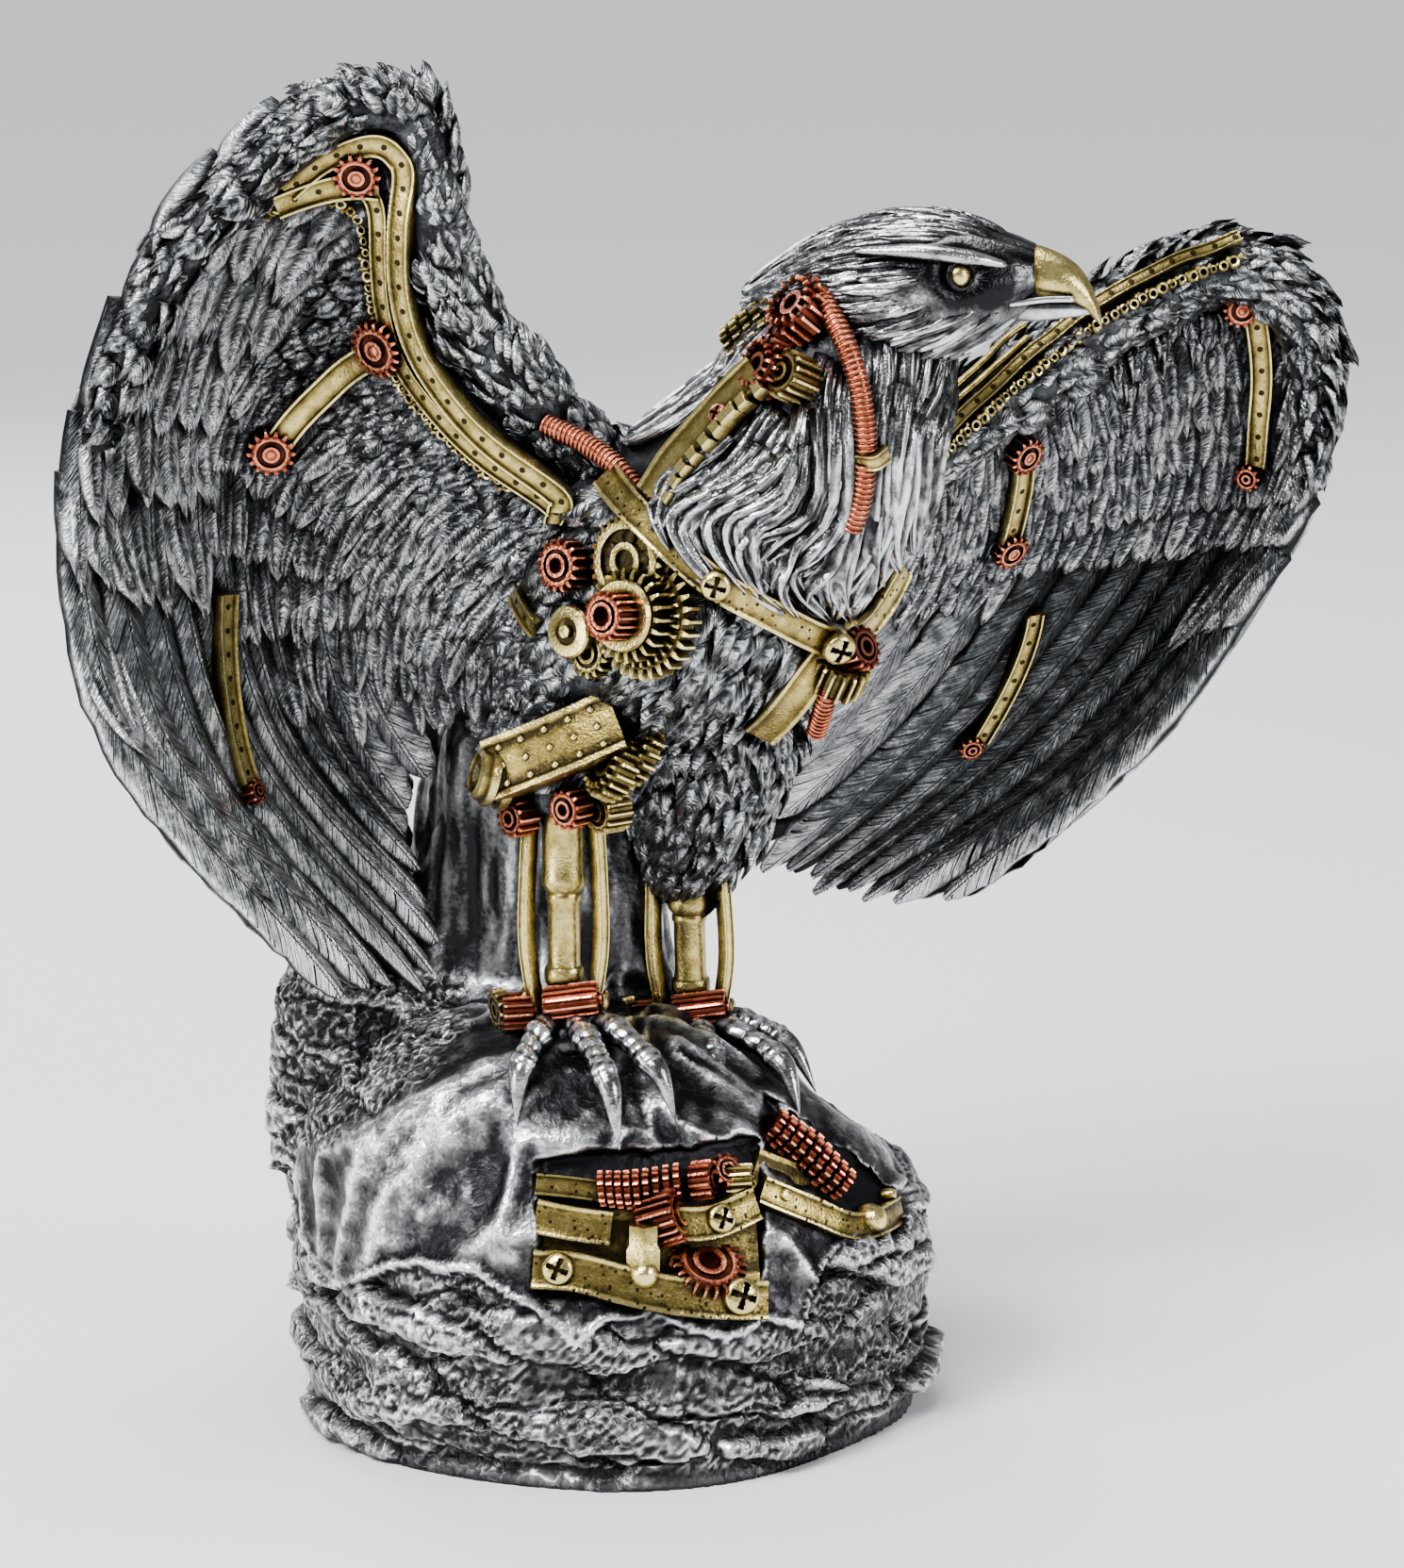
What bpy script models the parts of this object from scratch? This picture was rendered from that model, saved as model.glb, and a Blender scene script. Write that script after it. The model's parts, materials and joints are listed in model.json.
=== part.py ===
"""Steampunk eagle figurine: a cold-cast eagle with raised wings on a rock, cast in one with its plinth.

Metres, +Z up. The origin is the middle of the flat underside of the rock. The statue's display front, the
side with the mechanism window in the rock, faces -Y. The eagle looks to +X and half towards the front.
"""

import math

import bmesh
import bpy
import numpy as np
from mathutils import Matrix, Vector
from mathutils.bvhtree import BVHTree

# Driving sizes, in metres
ROCK_WIDTH = 0.152
ROCK_DEPTH = 0.132
SHELF_HEIGHT = 0.098
OUTCROP_HEIGHT = 0.109
EAGLE_HEIGHT = 0.222
WING_ROOT_THICKNESS = 0.011
WING_TIP_THICKNESS = 0.0036
FEATHER_STEP = 0.0013
STRAP_THICKNESS = 0.0020
STRUT_WIDTH = 0.0062
STRUT_THICKNESS = 0.0026
HARNESS_WIDTH = 0.0082
HOSE_DIAMETER = 0.0056
LEG_TUBE_DIAMETER = 0.0098
LEG_BAR_WIDTH = 0.0036
SCREW_HEAD_DIAMETER = 0.0062
WINDOW_SCREW_DIAMETER = 0.00744
WINDOW_SHAFT_DIAMETER = 0.0068
WINDOW_SHAFT_LENGTH = 0.020
BEAK_LENGTH = 0.0165
EYE_DIAMETER = 0.0056

# The eagle's own form is laid out in grid units: its height from perch to wing top is 222 of them.
GRID_HEIGHT = 222.0
GRID_PERCH = Vector((0.0, -12.0, 98.0))
UNIT = EAGLE_HEIGHT / GRID_HEIGHT
PERCH = Vector((0.0, -12.0 * UNIT, SHELF_HEIGHT))

# The bird's breast points this far from the front towards +X.
HEADING = math.radians(30.0)
FORWARD = Vector((math.sin(HEADING), -math.cos(HEADING), 0.0))
RIGHT_SIDE = Vector((-math.cos(HEADING), -math.sin(HEADING), 0.0))
FRONT = Vector((0.0, -1.0, 0.0))
UP = Vector((0.0, 0.0, 1.0))

# Each row is one flow line of feathers, from the arm to the feather tips; rows run from the body outwards.
RIGHT_WING_FLOW = (
    ((-4, -36, 220), (-9, -34, 209), (-14, -30, 197), (-15, -24, 184), (-14, -16, 172)),
    ((-29, -34, 244), (-38, -24, 227), (-46, -15, 206), (-46, -6, 182), (-36, 3, 160)),
    ((-39, -33, 260), (-53, -18, 239), (-67, -7, 211), (-63, 4, 172), (-47, 13, 140)),
    ((-42, -36, 281), (-62, -19, 256), (-79, -8, 220), (-73, 4, 165), (-44, 14, 121)),
    ((-39, -40, 302), (-69, -26, 272), (-90, -17, 228), (-82, -4, 162), (-40, 6, 103)),
    ((-44, -42, 314), (-78, -35, 282), (-100, -31, 232), (-93, -19, 163), (-50, -4, 102)),
    ((-69, -45, 310), (-96, -47, 283), (-115, -50, 235), (-109, -41, 170), (-64, -18, 106)),
)
LEFT_WING_FLOW = (
    ((50, -4, 212), (46, 2, 197), (40, 8, 182), (33, 15, 168), (25, 23, 155)),
    ((84, 16, 229), (81, 25, 210), (74, 34, 190), (60, 43, 167), (40, 52, 143)),
    ((107, 30, 243), (110, 42, 219), (103, 52, 192), (76, 62, 154), (38, 72, 117)),
    ((125, 38, 254), (130, 50, 227), (124, 60, 193), (91, 70, 150), (46, 78, 110)),
    ((143, 44, 262), (148, 54, 231), (142, 63, 195), (105, 73, 147), (55, 80, 106)),
    ((162, 44, 261), (161, 50, 231), (154, 57, 196), (120, 68, 145), (68, 78, 105)),
    ((170, 38, 242), (169, 38, 222), (161, 42, 199), (132, 56, 151), (84, 70, 104)),
)
# Middle of the rounded arm along the leading edge, and its radius
RIGHT_ARM = (
    ((22, -6, 210), 15), ((7, -16, 221), 10.5), ((-6, -24, 231), 9.5), ((-16, -27, 242), 9),
    ((-25, -29, 254), 8.5), ((-32, -31, 267), 8), ((-36, -33, 280), 7.5), ((-38, -36, 296), 6.8),
    ((-42, -39, 308), 6.5), ((-53, -41, 310), 6.3), ((-64, -43, 304), 6), ((-77, -46, 293), 5.5),
    ((-90, -48, 279), 5), ((-100, -49, 262), 4.5), ((-108, -50, 243), 3.5),
)
LEFT_ARM = (
    ((46, -10, 212), 14), ((62, 0, 221), 10), ((75, 6, 228), 9), ((86, 14, 235), 9), ((97, 21, 242), 8.5),
    ((110, 29, 250), 8.5), ((125, 36, 259), 8.5), ((138, 41, 264), 8.5), ((151, 43, 264), 8.3),
    ((160, 42, 258), 7.6), ((165, 40, 249), 6.5), ((167, 38, 237), 5), ((166, 38, 223), 3.6),
)
# Body sections from tail root to the nape: middle, half width, half depth
BODY = (
    ((-22, 40, 162), 8, 5), ((-16, 28, 166), 18, 13), ((-7, 14, 170), 27, 22), ((3, 0, 177), 32, 28),
    ((13, -14, 190), 35, 31), ((24, -24, 205), 36, 33), ((37, -33, 222), 32, 29), ((48, -39, 238), 28, 25),
    ((54, -42, 253), 24, 22), ((60, -44, 264), 18, 17), ((63, -45, 272), 11, 11),
)
# Head sections along its length: distance from the occiput, drop of the middle, half width, half height
HEAD = (
    (-3, 4.0, 5, 4), (3, 3.0, 10.5, 9), (12, 2.2, 16, 14.5), (24, 1.6, 18.5, 18), (36, 0.6, 18, 17),
    (46, 0.0, 14.5, 13.5), (54, -0.4, 10.5, 9.5), (58, -0.8, 7.5, 7),
)
OCCIPUT = (38, -43, 271)
HEAD_YAW = math.radians(-8.0)
HEAD_PITCH = math.radians(3.0)

FEATHER_COUNT = 9
COVERT_ROWS = 3
COVERT_SHARE = 0.62
SILVER = (0.30, 0.30, 0.31, 1.0)


def eagle(point):
    """A place on the bird, from grid units to metres: the bird grows from its perch on the rock's shelf."""
    return PERCH + (Vector(point) - GRID_PERCH) * UNIT


def along(points, share):
    """A point on the smooth curve through the given points, at a share of the way along it."""
    last = len(points) - 1
    place = min(max(share, 0.0), 1.0) * last
    i = min(int(place), last - 1)
    t = place - i
    b, c = points[i], points[i + 1]
    a = points[i - 1] if i > 0 else 2 * b - c
    d = points[i + 2] if i + 2 <= last else 2 * c - b
    return 0.5 * (2 * b + (c - a) * t + (2 * a - 5 * b + 4 * c - d) * t * t + (3 * b - a - 3 * c + d) * t**3)


def clear_scene():
    for old in list(bpy.data.objects):
        bpy.data.objects.remove(old)


def new_collection(name):
    collection = bpy.data.collections.new(name)
    bpy.context.scene.collection.children.link(collection)
    return collection


def cast_resin(name, color, roughness, metallic):
    material = bpy.data.materials.new(name)
    material.use_nodes = True
    shader = material.node_tree.nodes["Principled BSDF"]
    shader.inputs["Base Color"].default_value = color
    shader.inputs["Roughness"].default_value = roughness
    shader.inputs["Metallic"].default_value = metallic
    return material


def finish(name, bm, collection):
    """A closed mesh object from a bmesh, its faces turned outwards."""
    bmesh.ops.remove_doubles(bm, verts=bm.verts, dist=1e-6)
    bmesh.ops.recalc_face_normals(bm, faces=bm.faces)
    mesh = bpy.data.meshes.new(name)
    bm.to_mesh(mesh)
    bm.free()
    obj = bpy.data.objects.new(name, mesh)
    collection.objects.link(obj)
    return obj


def helper(name, bm):
    """A piece of the casting, joined to the rock by the union at the end."""
    obj = finish(name, bm, shapes)
    obj.hide_render = True
    obj.display_type = "WIRE"
    return obj


def loft(rings):
    """A closed skin through rings of points, with a flat cap at each end."""
    bm = bmesh.new()
    rows = [[bm.verts.new(p) for p in ring] for ring in rings]
    count = len(rows[0])
    for lower, upper in zip(rows, rows[1:]):
        for i in range(count):
            j = (i + 1) % count
            bm.faces.new((lower[i], lower[j], upper[j], upper[i]))
    bm.faces.new(rows[0][::-1])
    bm.faces.new(rows[-1])
    return bm


def rod(name, path, radii, sides=6):
    """A round rod through the points, each with its own radius: a curve with a bevel and filled caps."""
    curve = bpy.data.curves.new(name, "CURVE")
    curve.dimensions = "3D"
    curve.bevel_depth = 1.0
    curve.bevel_resolution = max(0, sides // 2 - 2)
    curve.use_fill_caps = True
    spline = curve.splines.new("POLY")
    spline.points.add(len(path) - 1)
    for point, place, radius in zip(spline.points, path, radii):
        point.co = (*place, 1.0)
        point.radius = radius
    drawn = bpy.data.objects.new(name + "_path", curve)
    shapes.objects.link(drawn)
    bpy.context.view_layer.update()
    evaluated = drawn.evaluated_get(bpy.context.evaluated_depsgraph_get())
    mesh = bpy.data.meshes.new_from_object(evaluated)
    bm = bmesh.new()
    bm.from_mesh(mesh)
    bpy.data.objects.remove(drawn)
    bpy.data.meshes.remove(mesh)
    return helper(name, bm)


def smooth_rod(name, points, radii, steps, sides=6):
    path = [along(points, i / steps) for i in range(steps + 1)]
    sizes = [along([Vector((r, 0, 0)) for r in radii], i / steps).x for i in range(steps + 1)]
    return rod(name, path, sizes, sides)


def band(name, path, normals, width, thickness):
    """A flat strap that follows the path, standing proud along the normals and sunk as deep behind it."""
    rings = []
    for i, (place, normal) in enumerate(zip(path, normals)):
        ahead = path[min(i + 1, len(path) - 1)] - path[max(i - 1, 0)]
        side = ahead.cross(normal).normalized() * (width / 2)
        out = normal.normalized() * thickness
        rings.append([place - side - out, place + side - out, place + side + out, place - side + out])
    return helper(name, loft(rings))


def turning(axis):
    """The turn that carries +Z onto the axis."""
    return axis.normalized().to_track_quat("Z", "Y").to_matrix().to_4x4()


def gear(name, middle, axis, radius, thickness, teeth, tooth=0.22):
    """A toothed wheel, as thick as stated, centred on its middle."""
    bm = bmesh.new()
    rim = []
    for i in range(2 * teeth):
        angle = math.pi * i / teeth
        reach = radius if i % 2 else radius * (1 - tooth)
        rim.append((reach * math.cos(angle), reach * math.sin(angle)))
    lower = [bm.verts.new((x, y, -thickness / 2)) for x, y in rim]
    face = bm.faces.new(lower)
    lifted = bmesh.ops.extrude_face_region(bm, geom=[face])
    tops = [v for v in lifted["geom"] if isinstance(v, bmesh.types.BMVert)]
    bmesh.ops.translate(bm, verts=tops, vec=(0, 0, thickness))
    bmesh.ops.transform(bm, matrix=Matrix.Translation(middle) @ turning(axis), verts=bm.verts)
    return helper(name, bm)


def disc(name, middle, axis, radius, thickness, sides=10):
    """A plain round piece: a hub, a screw head, a pipe end."""
    bm = bmesh.new()
    bmesh.ops.create_cone(
        bm, cap_ends=True, segments=sides, radius1=radius, radius2=radius, depth=thickness,
        matrix=Matrix.Translation(middle) @ turning(axis),
    )
    return helper(name, bm)


def wing_point(flow, across, down):
    return along([along([Vector(p) for p in row], down) for row in flow], across)


def wing_normal(flow, across, down):
    """The way the ventral side of the wing faces, towards the front."""
    step = 0.02
    u = wing_point(flow, min(across + step, 1), down) - wing_point(flow, max(across - step, 0), down)
    v = wing_point(flow, across, min(down + step, 1)) - wing_point(flow, across, max(down - step, 0))
    normal = u.cross(v).normalized()
    return normal if normal.dot(FRONT) > 0 else -normal


def wing_thickness(across, down):
    thin = min(1.0, max(down / 0.7, across**3))
    return WING_ROOT_THICKNESS + (WING_TIP_THICKNESS - WING_ROOT_THICKNESS) * thin


def wing_columns():
    """Shares across the wing, and how far each stands proud: every feather rises towards its outer edge."""
    for k in range(FEATHER_COUNT):
        for share, lift in ((0.04, 0.0), (0.96, 1.0)):
            yield (k + share) / FEATHER_COUNT, lift


def wing_rows(shift):
    """Shares down the wing with the feather relief there: stepped coverts, then the long flight feathers."""
    for row in range(COVERT_ROWS):
        start = COVERT_SHARE * row / COVERT_ROWS
        end = COVERT_SHARE * (row + 1) / COVERT_ROWS
        yield start + (0.012 + shift if row else 0.0), 0.0
        yield end - 0.012 + shift, 1.0
    first = COVERT_SHARE + 0.012 + shift
    for share in (0.0, 0.5, 1.0):
        yield first + (0.95 + 1.6 * shift - first) * share, 0.2


def feathered_wing(name, flow):
    """A wing as a closed slab between its two feathered sides."""
    fronts, backs = [], []
    for across, proud in wing_columns():
        front, back = [], []
        for down, lift in wing_rows(0.03 * proud):
            place = eagle(wing_point(flow, across, down))
            out = wing_normal(flow, across, down)
            relief = FEATHER_STEP * (lift + proud)
            front.append(place + out * relief)
            back.append(place - (out + FRONT).normalized() * (wing_thickness(across, down) + relief))
        fronts.append(front)
        backs.append(back)
    bm = bmesh.new()
    grids = [[[bm.verts.new(p) for p in line] for line in side] for side in (fronts, backs)]
    columns, rows = len(fronts), len(fronts[0])
    for grid in grids:
        for i in range(columns - 1):
            for j in range(rows - 1):
                bm.faces.new((grid[i][j], grid[i + 1][j], grid[i + 1][j + 1], grid[i][j + 1]))
    front, back = grids
    for i in range(columns - 1):
        for j in (0, rows - 1):
            bm.faces.new((front[i][j], front[i + 1][j], back[i + 1][j], back[i][j]))
    for j in range(rows - 1):
        for i in (0, columns - 1):
            bm.faces.new((front[i][j], front[i][j + 1], back[i][j + 1], back[i][j]))
    return helper(name, bm)


def wing_arm(name, arm):
    points = [eagle(place) for place, _ in arm]
    radii = [radius * UNIT for _, radius in arm]
    return smooth_rod(name, points, radii, steps=12, sides=6)


def body_ring(middle, forward, half_width, half_depth, sides, tuft):
    """One section of the body, its outline lifted in turn into rows of breast feathers."""
    side = forward.cross(UP).normalized()
    over = side.cross(forward).normalized()
    ring = []
    for i in range(sides):
        angle = 2 * math.pi * i / sides
        lift = UNIT * tuft * (1 if i % 2 else -1)
        ring.append(
            middle
            + side * (half_width * UNIT + lift) * math.cos(angle)
            + over * (half_depth * UNIT + lift) * math.sin(angle)
        )
    return ring


def body():
    middles = [eagle(m) for m, _, _ in BODY]
    sizes = [Vector((a, b, 0)) for _, a, b in BODY]
    stations = 12
    rings = []
    for i in range(stations + 1):
        share = i / stations
        ahead = along(middles, min(share + 0.03, 1)) - along(middles, max(share - 0.03, 0))
        size = along(sizes, share)
        tuft = 0.8 * (1 if i % 2 else -1)
        rings.append(body_ring(along(middles, share), ahead.normalized(), size.x, size.y, 16, tuft))
    return helper("body", loft(rings))


def head_frame():
    """The head's own axes: forward along the beak, to its left, and up."""
    turn = Matrix.Rotation(HEAD_YAW, 3, "Z") @ Matrix.Rotation(-HEAD_PITCH, 3, "Y")
    return turn @ Vector((1, 0, 0)), turn @ Vector((0, 1, 0)), turn @ Vector((0, 0, 1))


def on_head(reach, side, height):
    ahead, left, over = head_frame()
    return eagle(OCCIPUT) + (ahead * reach + left * side + over * height) * UNIT


def head():
    rings = []
    for reach, drop, half_width, half_height in HEAD:
        ring = []
        for i in range(12):
            angle = 2 * math.pi * i / 12
            height = half_height * math.sin(angle)
            flat = 0.86 if height > 0 else 1.0
            ring.append(on_head(reach, half_width * math.cos(angle), height * flat - drop))
        rings.append(ring)
    return helper("head", loft(rings))


def brow(name, side):
    """The shelf of feathers over an eye."""
    path = [on_head(reach, side * half, height) for reach, half, height in
            ((22, 15, 9.5), (34, 15.5, 8.5), (44, 12.5, 6.0), (51, 9.0, 4.0))]
    return smooth_rod(name, path, [2.2 * UNIT, 3.4 * UNIT, 2.8 * UNIT, 1.6 * UNIT], 3, 4)


def eye(name, side):
    bm = bmesh.new()
    bmesh.ops.create_uvsphere(
        bm, u_segments=6, v_segments=4, radius=EYE_DIAMETER / 2,
        matrix=Matrix.Translation(on_head(42, side * 13.6, 2.4)),
    )
    return helper(name, bm)


def beak():
    """The hooked upper beak: oval sections that drop and thin towards the point."""
    root, rings = 55.0, []
    length = BEAK_LENGTH / UNIT
    for share, drop, half_width, half_height in (
        (-0.25, 0.2, 6.5, 6.2), (0.0, 0.0, 6.6, 6.6), (0.3, 0.6, 5.8, 6.2), (0.6, 2.0, 4.6, 5.2),
        (0.85, 5.2, 3.0, 4.2), (0.98, 9.0, 1.8, 2.4), (1.0, 12.0, 0.8, 0.9),
    ):
        rings.append([
            on_head(root + share * length, half_width * math.cos(a), half_height * math.sin(a) - drop)
            for a in (2 * math.pi * i / 8 for i in range(8))
        ])
    return helper("beak", loft(rings))


def lower_beak():
    path = [on_head(reach, 0, height) for reach, height in ((50, -5.5), (58, -6.6), (65, -7.0), (69, -7.6))]
    return smooth_rod("lower_beak", path, [5.5 * UNIT, 4.4 * UNIT, 3.0 * UNIT, 1.2 * UNIT], 3)


def hackles(skin):
    """Long pointed neck locks that hang over the breast and round the neck."""
    count = 13
    for i in range(count):
        angle = 2 * math.pi * (i + 0.5) / count
        start, end = Vector((54, -42, 262)), Vector((33, -30, 216))
        radial = FORWARD * math.cos(angle) + RIGHT_SIDE * math.sin(angle)
        longer = 1.0 + 0.28 * math.cos(angle)
        drop = end + (end - start) * (longer - 1)
        places = []
        for share in (0.0, 0.35, 0.7, 1.0):
            core = eagle(start.lerp(drop, share))
            hit = skin.ray_cast(core + radial * 200 * UNIT, -radial)[0]
            reach = hit if hit is not None else core + radial * 30 * UNIT
            places.append(reach + radial * (-1.0 + 2.2 * math.sin(math.pi * share)) * UNIT)
        radii = [5.2 * UNIT, 6.4 * UNIT, 4.8 * UNIT, 0.8 * UNIT]
        smooth_rod(f"hackle_{i:02d}", places, radii, 3, 4)


def tail():
    """Seven overlapping tail feathers in a fan behind the body."""
    root = Vector((-14, 26, 167))
    for k in range(7):
        spread = math.radians((k - 3) * 9.0)
        back = Matrix.Rotation(spread, 3, "Z") @ -FORWARD
        tip = root + back * (54 - abs(k - 3) * 2.0) - UP * 17
        path = [eagle(root.lerp(tip, s) - UP * 2.0 * abs(k - 3) * s) for s in (0.0, 0.4, 0.8, 1.0)]
        normals = [(UP + back * 0.3).normalized()] * 4
        band(f"tail_feather_{k}", path, normals, 13 * UNIT, (1.7 + 0.15 * (k % 2)) * UNIT)


def thigh():
    """The feathered thighs; a riveted plate covers the right one down to the knee's boss."""
    left = ((182, 22, -12, 21), (166, 24, -8, 21), (152, 23, -4, 18), (141, 21, 0, 14), (132, 19, 2, 10.5))
    right = ((182, 0, -14, 19), (168, -3, -20, 16), (158, -8, -25, 11.5), (149, -10, -28, 8))
    for name, levels in (("left_thigh", left), ("right_thigh", right)):
        rings = []
        for height, x, y, half in levels:
            ring = []
            for i in range(12):
                angle = 2 * math.pi * i / 12
                reach = half + 0.9 * (-1) ** i
                ring.append(eagle((x + reach * math.cos(angle), y + reach * math.sin(angle), height)))
            rings.append(ring)
        helper(name, loft(rings))
    plate = [eagle(p) for p in ((-25, -33, 155), (-15, -38, 159), (-5, -41, 165), (4, -41, 173))]
    band("hip_plate", plate, [FRONT + RIGHT_SIDE * 0.5 + UP * 0.4] * 4, 15 * UNIT, 2.4 * UNIT)
    disc("knee_boss", eagle((-21, -31, 156)), RIGHT_SIDE + UP * 0.2, 7.5 * UNIT, 8 * UNIT, 12)


def leg(name, ankle, knee):
    """A shank: a stepped tube between two curved side bars, with pinions at the ankle."""
    top, bottom = eagle(knee), eagle(ankle)
    axis = top - bottom
    length = axis.length
    bm = bmesh.new()
    wide = LEG_TUBE_DIAMETER / 2
    profile = ((0.0, -0.08), (0.72, -0.08), (0.72, 0.16), (0.88, 0.18), (0.88, 0.26), (0.74, 0.28),
               (0.74, 0.56), (1.0, 0.60), (1.0, 1.06), (0.0, 1.06))
    turned = [bm.verts.new((r * wide, 0, z * length)) for r, z in profile]
    for a, b in zip(turned, turned[1:]):
        bm.edges.new((a, b))
    bmesh.ops.spin(bm, geom=bm.verts[:] + bm.edges[:], cent=(0, 0, 0), axis=(0, 0, 1), steps=8,
                   angle=2 * math.pi, use_merge=True, use_duplicate=False)
    bmesh.ops.transform(bm, matrix=Matrix.Translation(bottom) @ turning(axis), verts=bm.verts)
    helper(name + "_tube", bm)
    for side in (-1, 1):
        across = Vector((side, -0.15 * side, 0)).normalized()
        path = [bottom + axis * share + across * reach * UNIT
                for share, reach in ((-0.04, 6.0), (0.3, 9.4), (0.7, 9.0), (1.04, 7.4))]
        band(f"{name}_bar_{side + 1}", path, [across] * 4, LEG_BAR_WIDTH, STRAP_THICKNESS * 0.7)
    for i, share in enumerate((0.0, 0.97)):
        middle = bottom + axis * share
        disc(f"{name}_yoke_{i}", middle, Vector((1, -0.15, 0)), 4.2 * UNIT, 19 * UNIT, 8)


def toe(name, path, thick):
    """A knuckled toe that ends in a curved claw."""
    points = [eagle(p) for p in path]
    steps = 5
    radii = []
    for i in range(steps + 1):
        share = i / steps
        knuckle = 1.0 + 0.14 * (-1) ** i
        radii.append(thick * UNIT * (knuckle if share < 0.65 else 1.9 * (1.02 - share)))
    rod(name, [along(points, i / steps) for i in range(steps + 1)], radii, 6)


def feet():
    right = (-9, -31, 103)
    toes = (
        (right, (-14, -40, 100), (-18, -47, 93), (-19, -51, 79)),
        (right, (-4, -44, 100), (1, -54, 92), (4, -59, 77)),
        (right, (2, -41, 101), (11, -49, 94), (16, -53, 82)),
        (right, (-16, -24, 101), (-22, -18, 98), (-24, -15, 94)),
    )
    for i, path in enumerate(toes):
        toe(f"right_toe_{i}", path, 4.2)
    left = (20, 1, 93)
    toes = (
        (left, (22, -10, 92), (25, -20, 89), (27, -26, 78)),
        (left, (29, -8, 92), (40, -16, 87), (45, -22, 75)),
        (left, (31, 1, 92), (41, -2, 87), (48, -6, 76)),
        (left, (14, 8, 92), (8, 13, 90), (4, 16, 88)),
    )
    for i, path in enumerate(toes):
        toe(f"left_toe_{i}", path, 4.2)
    for name, ankle in (("right", right), ("left", left)):
        disc(f"{name}_foot_pad", eagle(ankle) - UP * 3 * UNIT, UP, 8 * UNIT, 12 * UNIT, 10)
        gear(f"{name}_ankle_gear_front", eagle(ankle) + Vector((2, -4, 4)) * UNIT, Vector((1, -0.1, 0.15)),
             5.0 * UNIT, 12 * UNIT, 9)
        gear(f"{name}_ankle_gear_side", eagle(ankle) + Vector((-11, 0, 1)) * UNIT, RIGHT_SIDE,
             4.6 * UNIT, 7 * UNIT, 8)


def wing_fitting(name, flow, start, end, gears):
    """A curved strut on the ventral side of a wing, with a toothed wheel at some ends."""
    path, normals = [], []
    for i in range(5):
        across, down = (a + (b - a) * i / 4 for a, b in zip(start, end))
        path.append(eagle(wing_point(flow, across, down)))
        normals.append(wing_normal(flow, across, down))
    band(name, path, normals, STRUT_WIDTH, STRUT_THICKNESS)
    for i, (across, down, radius) in enumerate(gears):
        normal = wing_normal(flow, across, down)
        middle = eagle(wing_point(flow, across, down)) + normal * STRUT_THICKNESS * 0.6
        gear(f"{name}_gear_{i}", middle, normal, radius * UNIT, 3 * STRUT_THICKNESS, 8)


def wing_straps():
    for name, flow, last in (("right", RIGHT_WING_FLOW, 0.92), ("left", LEFT_WING_FLOW, 0.88)):
        path, normals = [], []
        for i in range(11):
            across = 0.02 + (last - 0.02) * i / 10
            path.append(eagle(wing_point(flow, across, 0.015)))
            normals.append(wing_normal(flow, across, 0.03))
        band(f"{name}_arm_strap", path, normals, STRUT_WIDTH * 1.1, STRAP_THICKNESS * 1.3)
    wing_fitting("right_upper_strut", RIGHT_WING_FLOW, (0.38, 0.13), (0.48, 0.43),
                 ((0.38, 0.11, 6.6), (0.49, 0.43, 5.6)))
    wing_fitting("right_top_strut", RIGHT_WING_FLOW, (0.66, 0.08), (0.82, 0.22), ((0.73, 0.10, 5.4),))
    wing_fitting("right_lower_strut", RIGHT_WING_FLOW, (0.64, 0.63), (0.78, 0.79), ((0.79, 0.80, 2.8),))
    wing_fitting("left_outer_strut", LEFT_WING_FLOW, (0.74, 0.07), (0.79, 0.36),
                 ((0.71, 0.05, 4.2), (0.76, 0.38, 3.0)))
    wing_fitting("left_inner_strut", LEFT_WING_FLOW, (0.24, 0.16), (0.24, 0.38),
                 ((0.24, 0.13, 4.4), (0.25, 0.41, 4.2)))
    wing_fitting("left_lower_strut", LEFT_WING_FLOW, (0.36, 0.58), (0.50, 0.76), ((0.49, 0.77, 3.0),))


def shoulder_train():
    """The stacked gear train on the right shoulder, on one axle, with two idlers beside it."""
    root = eagle((14, -47, 204))
    axis = RIGHT_SIDE
    gear("shoulder_wheel_large", root, axis, 17 * UNIT, 12 * UNIT, 18, 0.14)
    gear("shoulder_wheel_middle", root + axis * 7 * UNIT, axis, 12 * UNIT, 7 * UNIT, 12, 0.18)
    gear("shoulder_pinion", root + axis * 13 * UNIT, axis, 7 * UNIT, 9 * UNIT, 9, 0.18)
    gear("shoulder_idler_upper", eagle((-6, -47, 209)), axis, 8 * UNIT, 9 * UNIT, 10, 0.2)
    disc("shoulder_idler_lower", eagle((-5, -48, 194)), axis, 7.5 * UNIT, 9 * UNIT, 12)


def on_skin(skin, x, z, out=0.0):
    """Where the breast or neck is met from the front, and the way it faces there."""
    start = eagle((x, -150, z))
    place, normal, _, _ = skin.ray_cast(start, -FRONT)
    if place is None:
        place, normal = eagle((x, -30, z)), FRONT
    normal = normal if normal.dot(FRONT) > 0 else -normal
    return place + normal * out, normal


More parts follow.
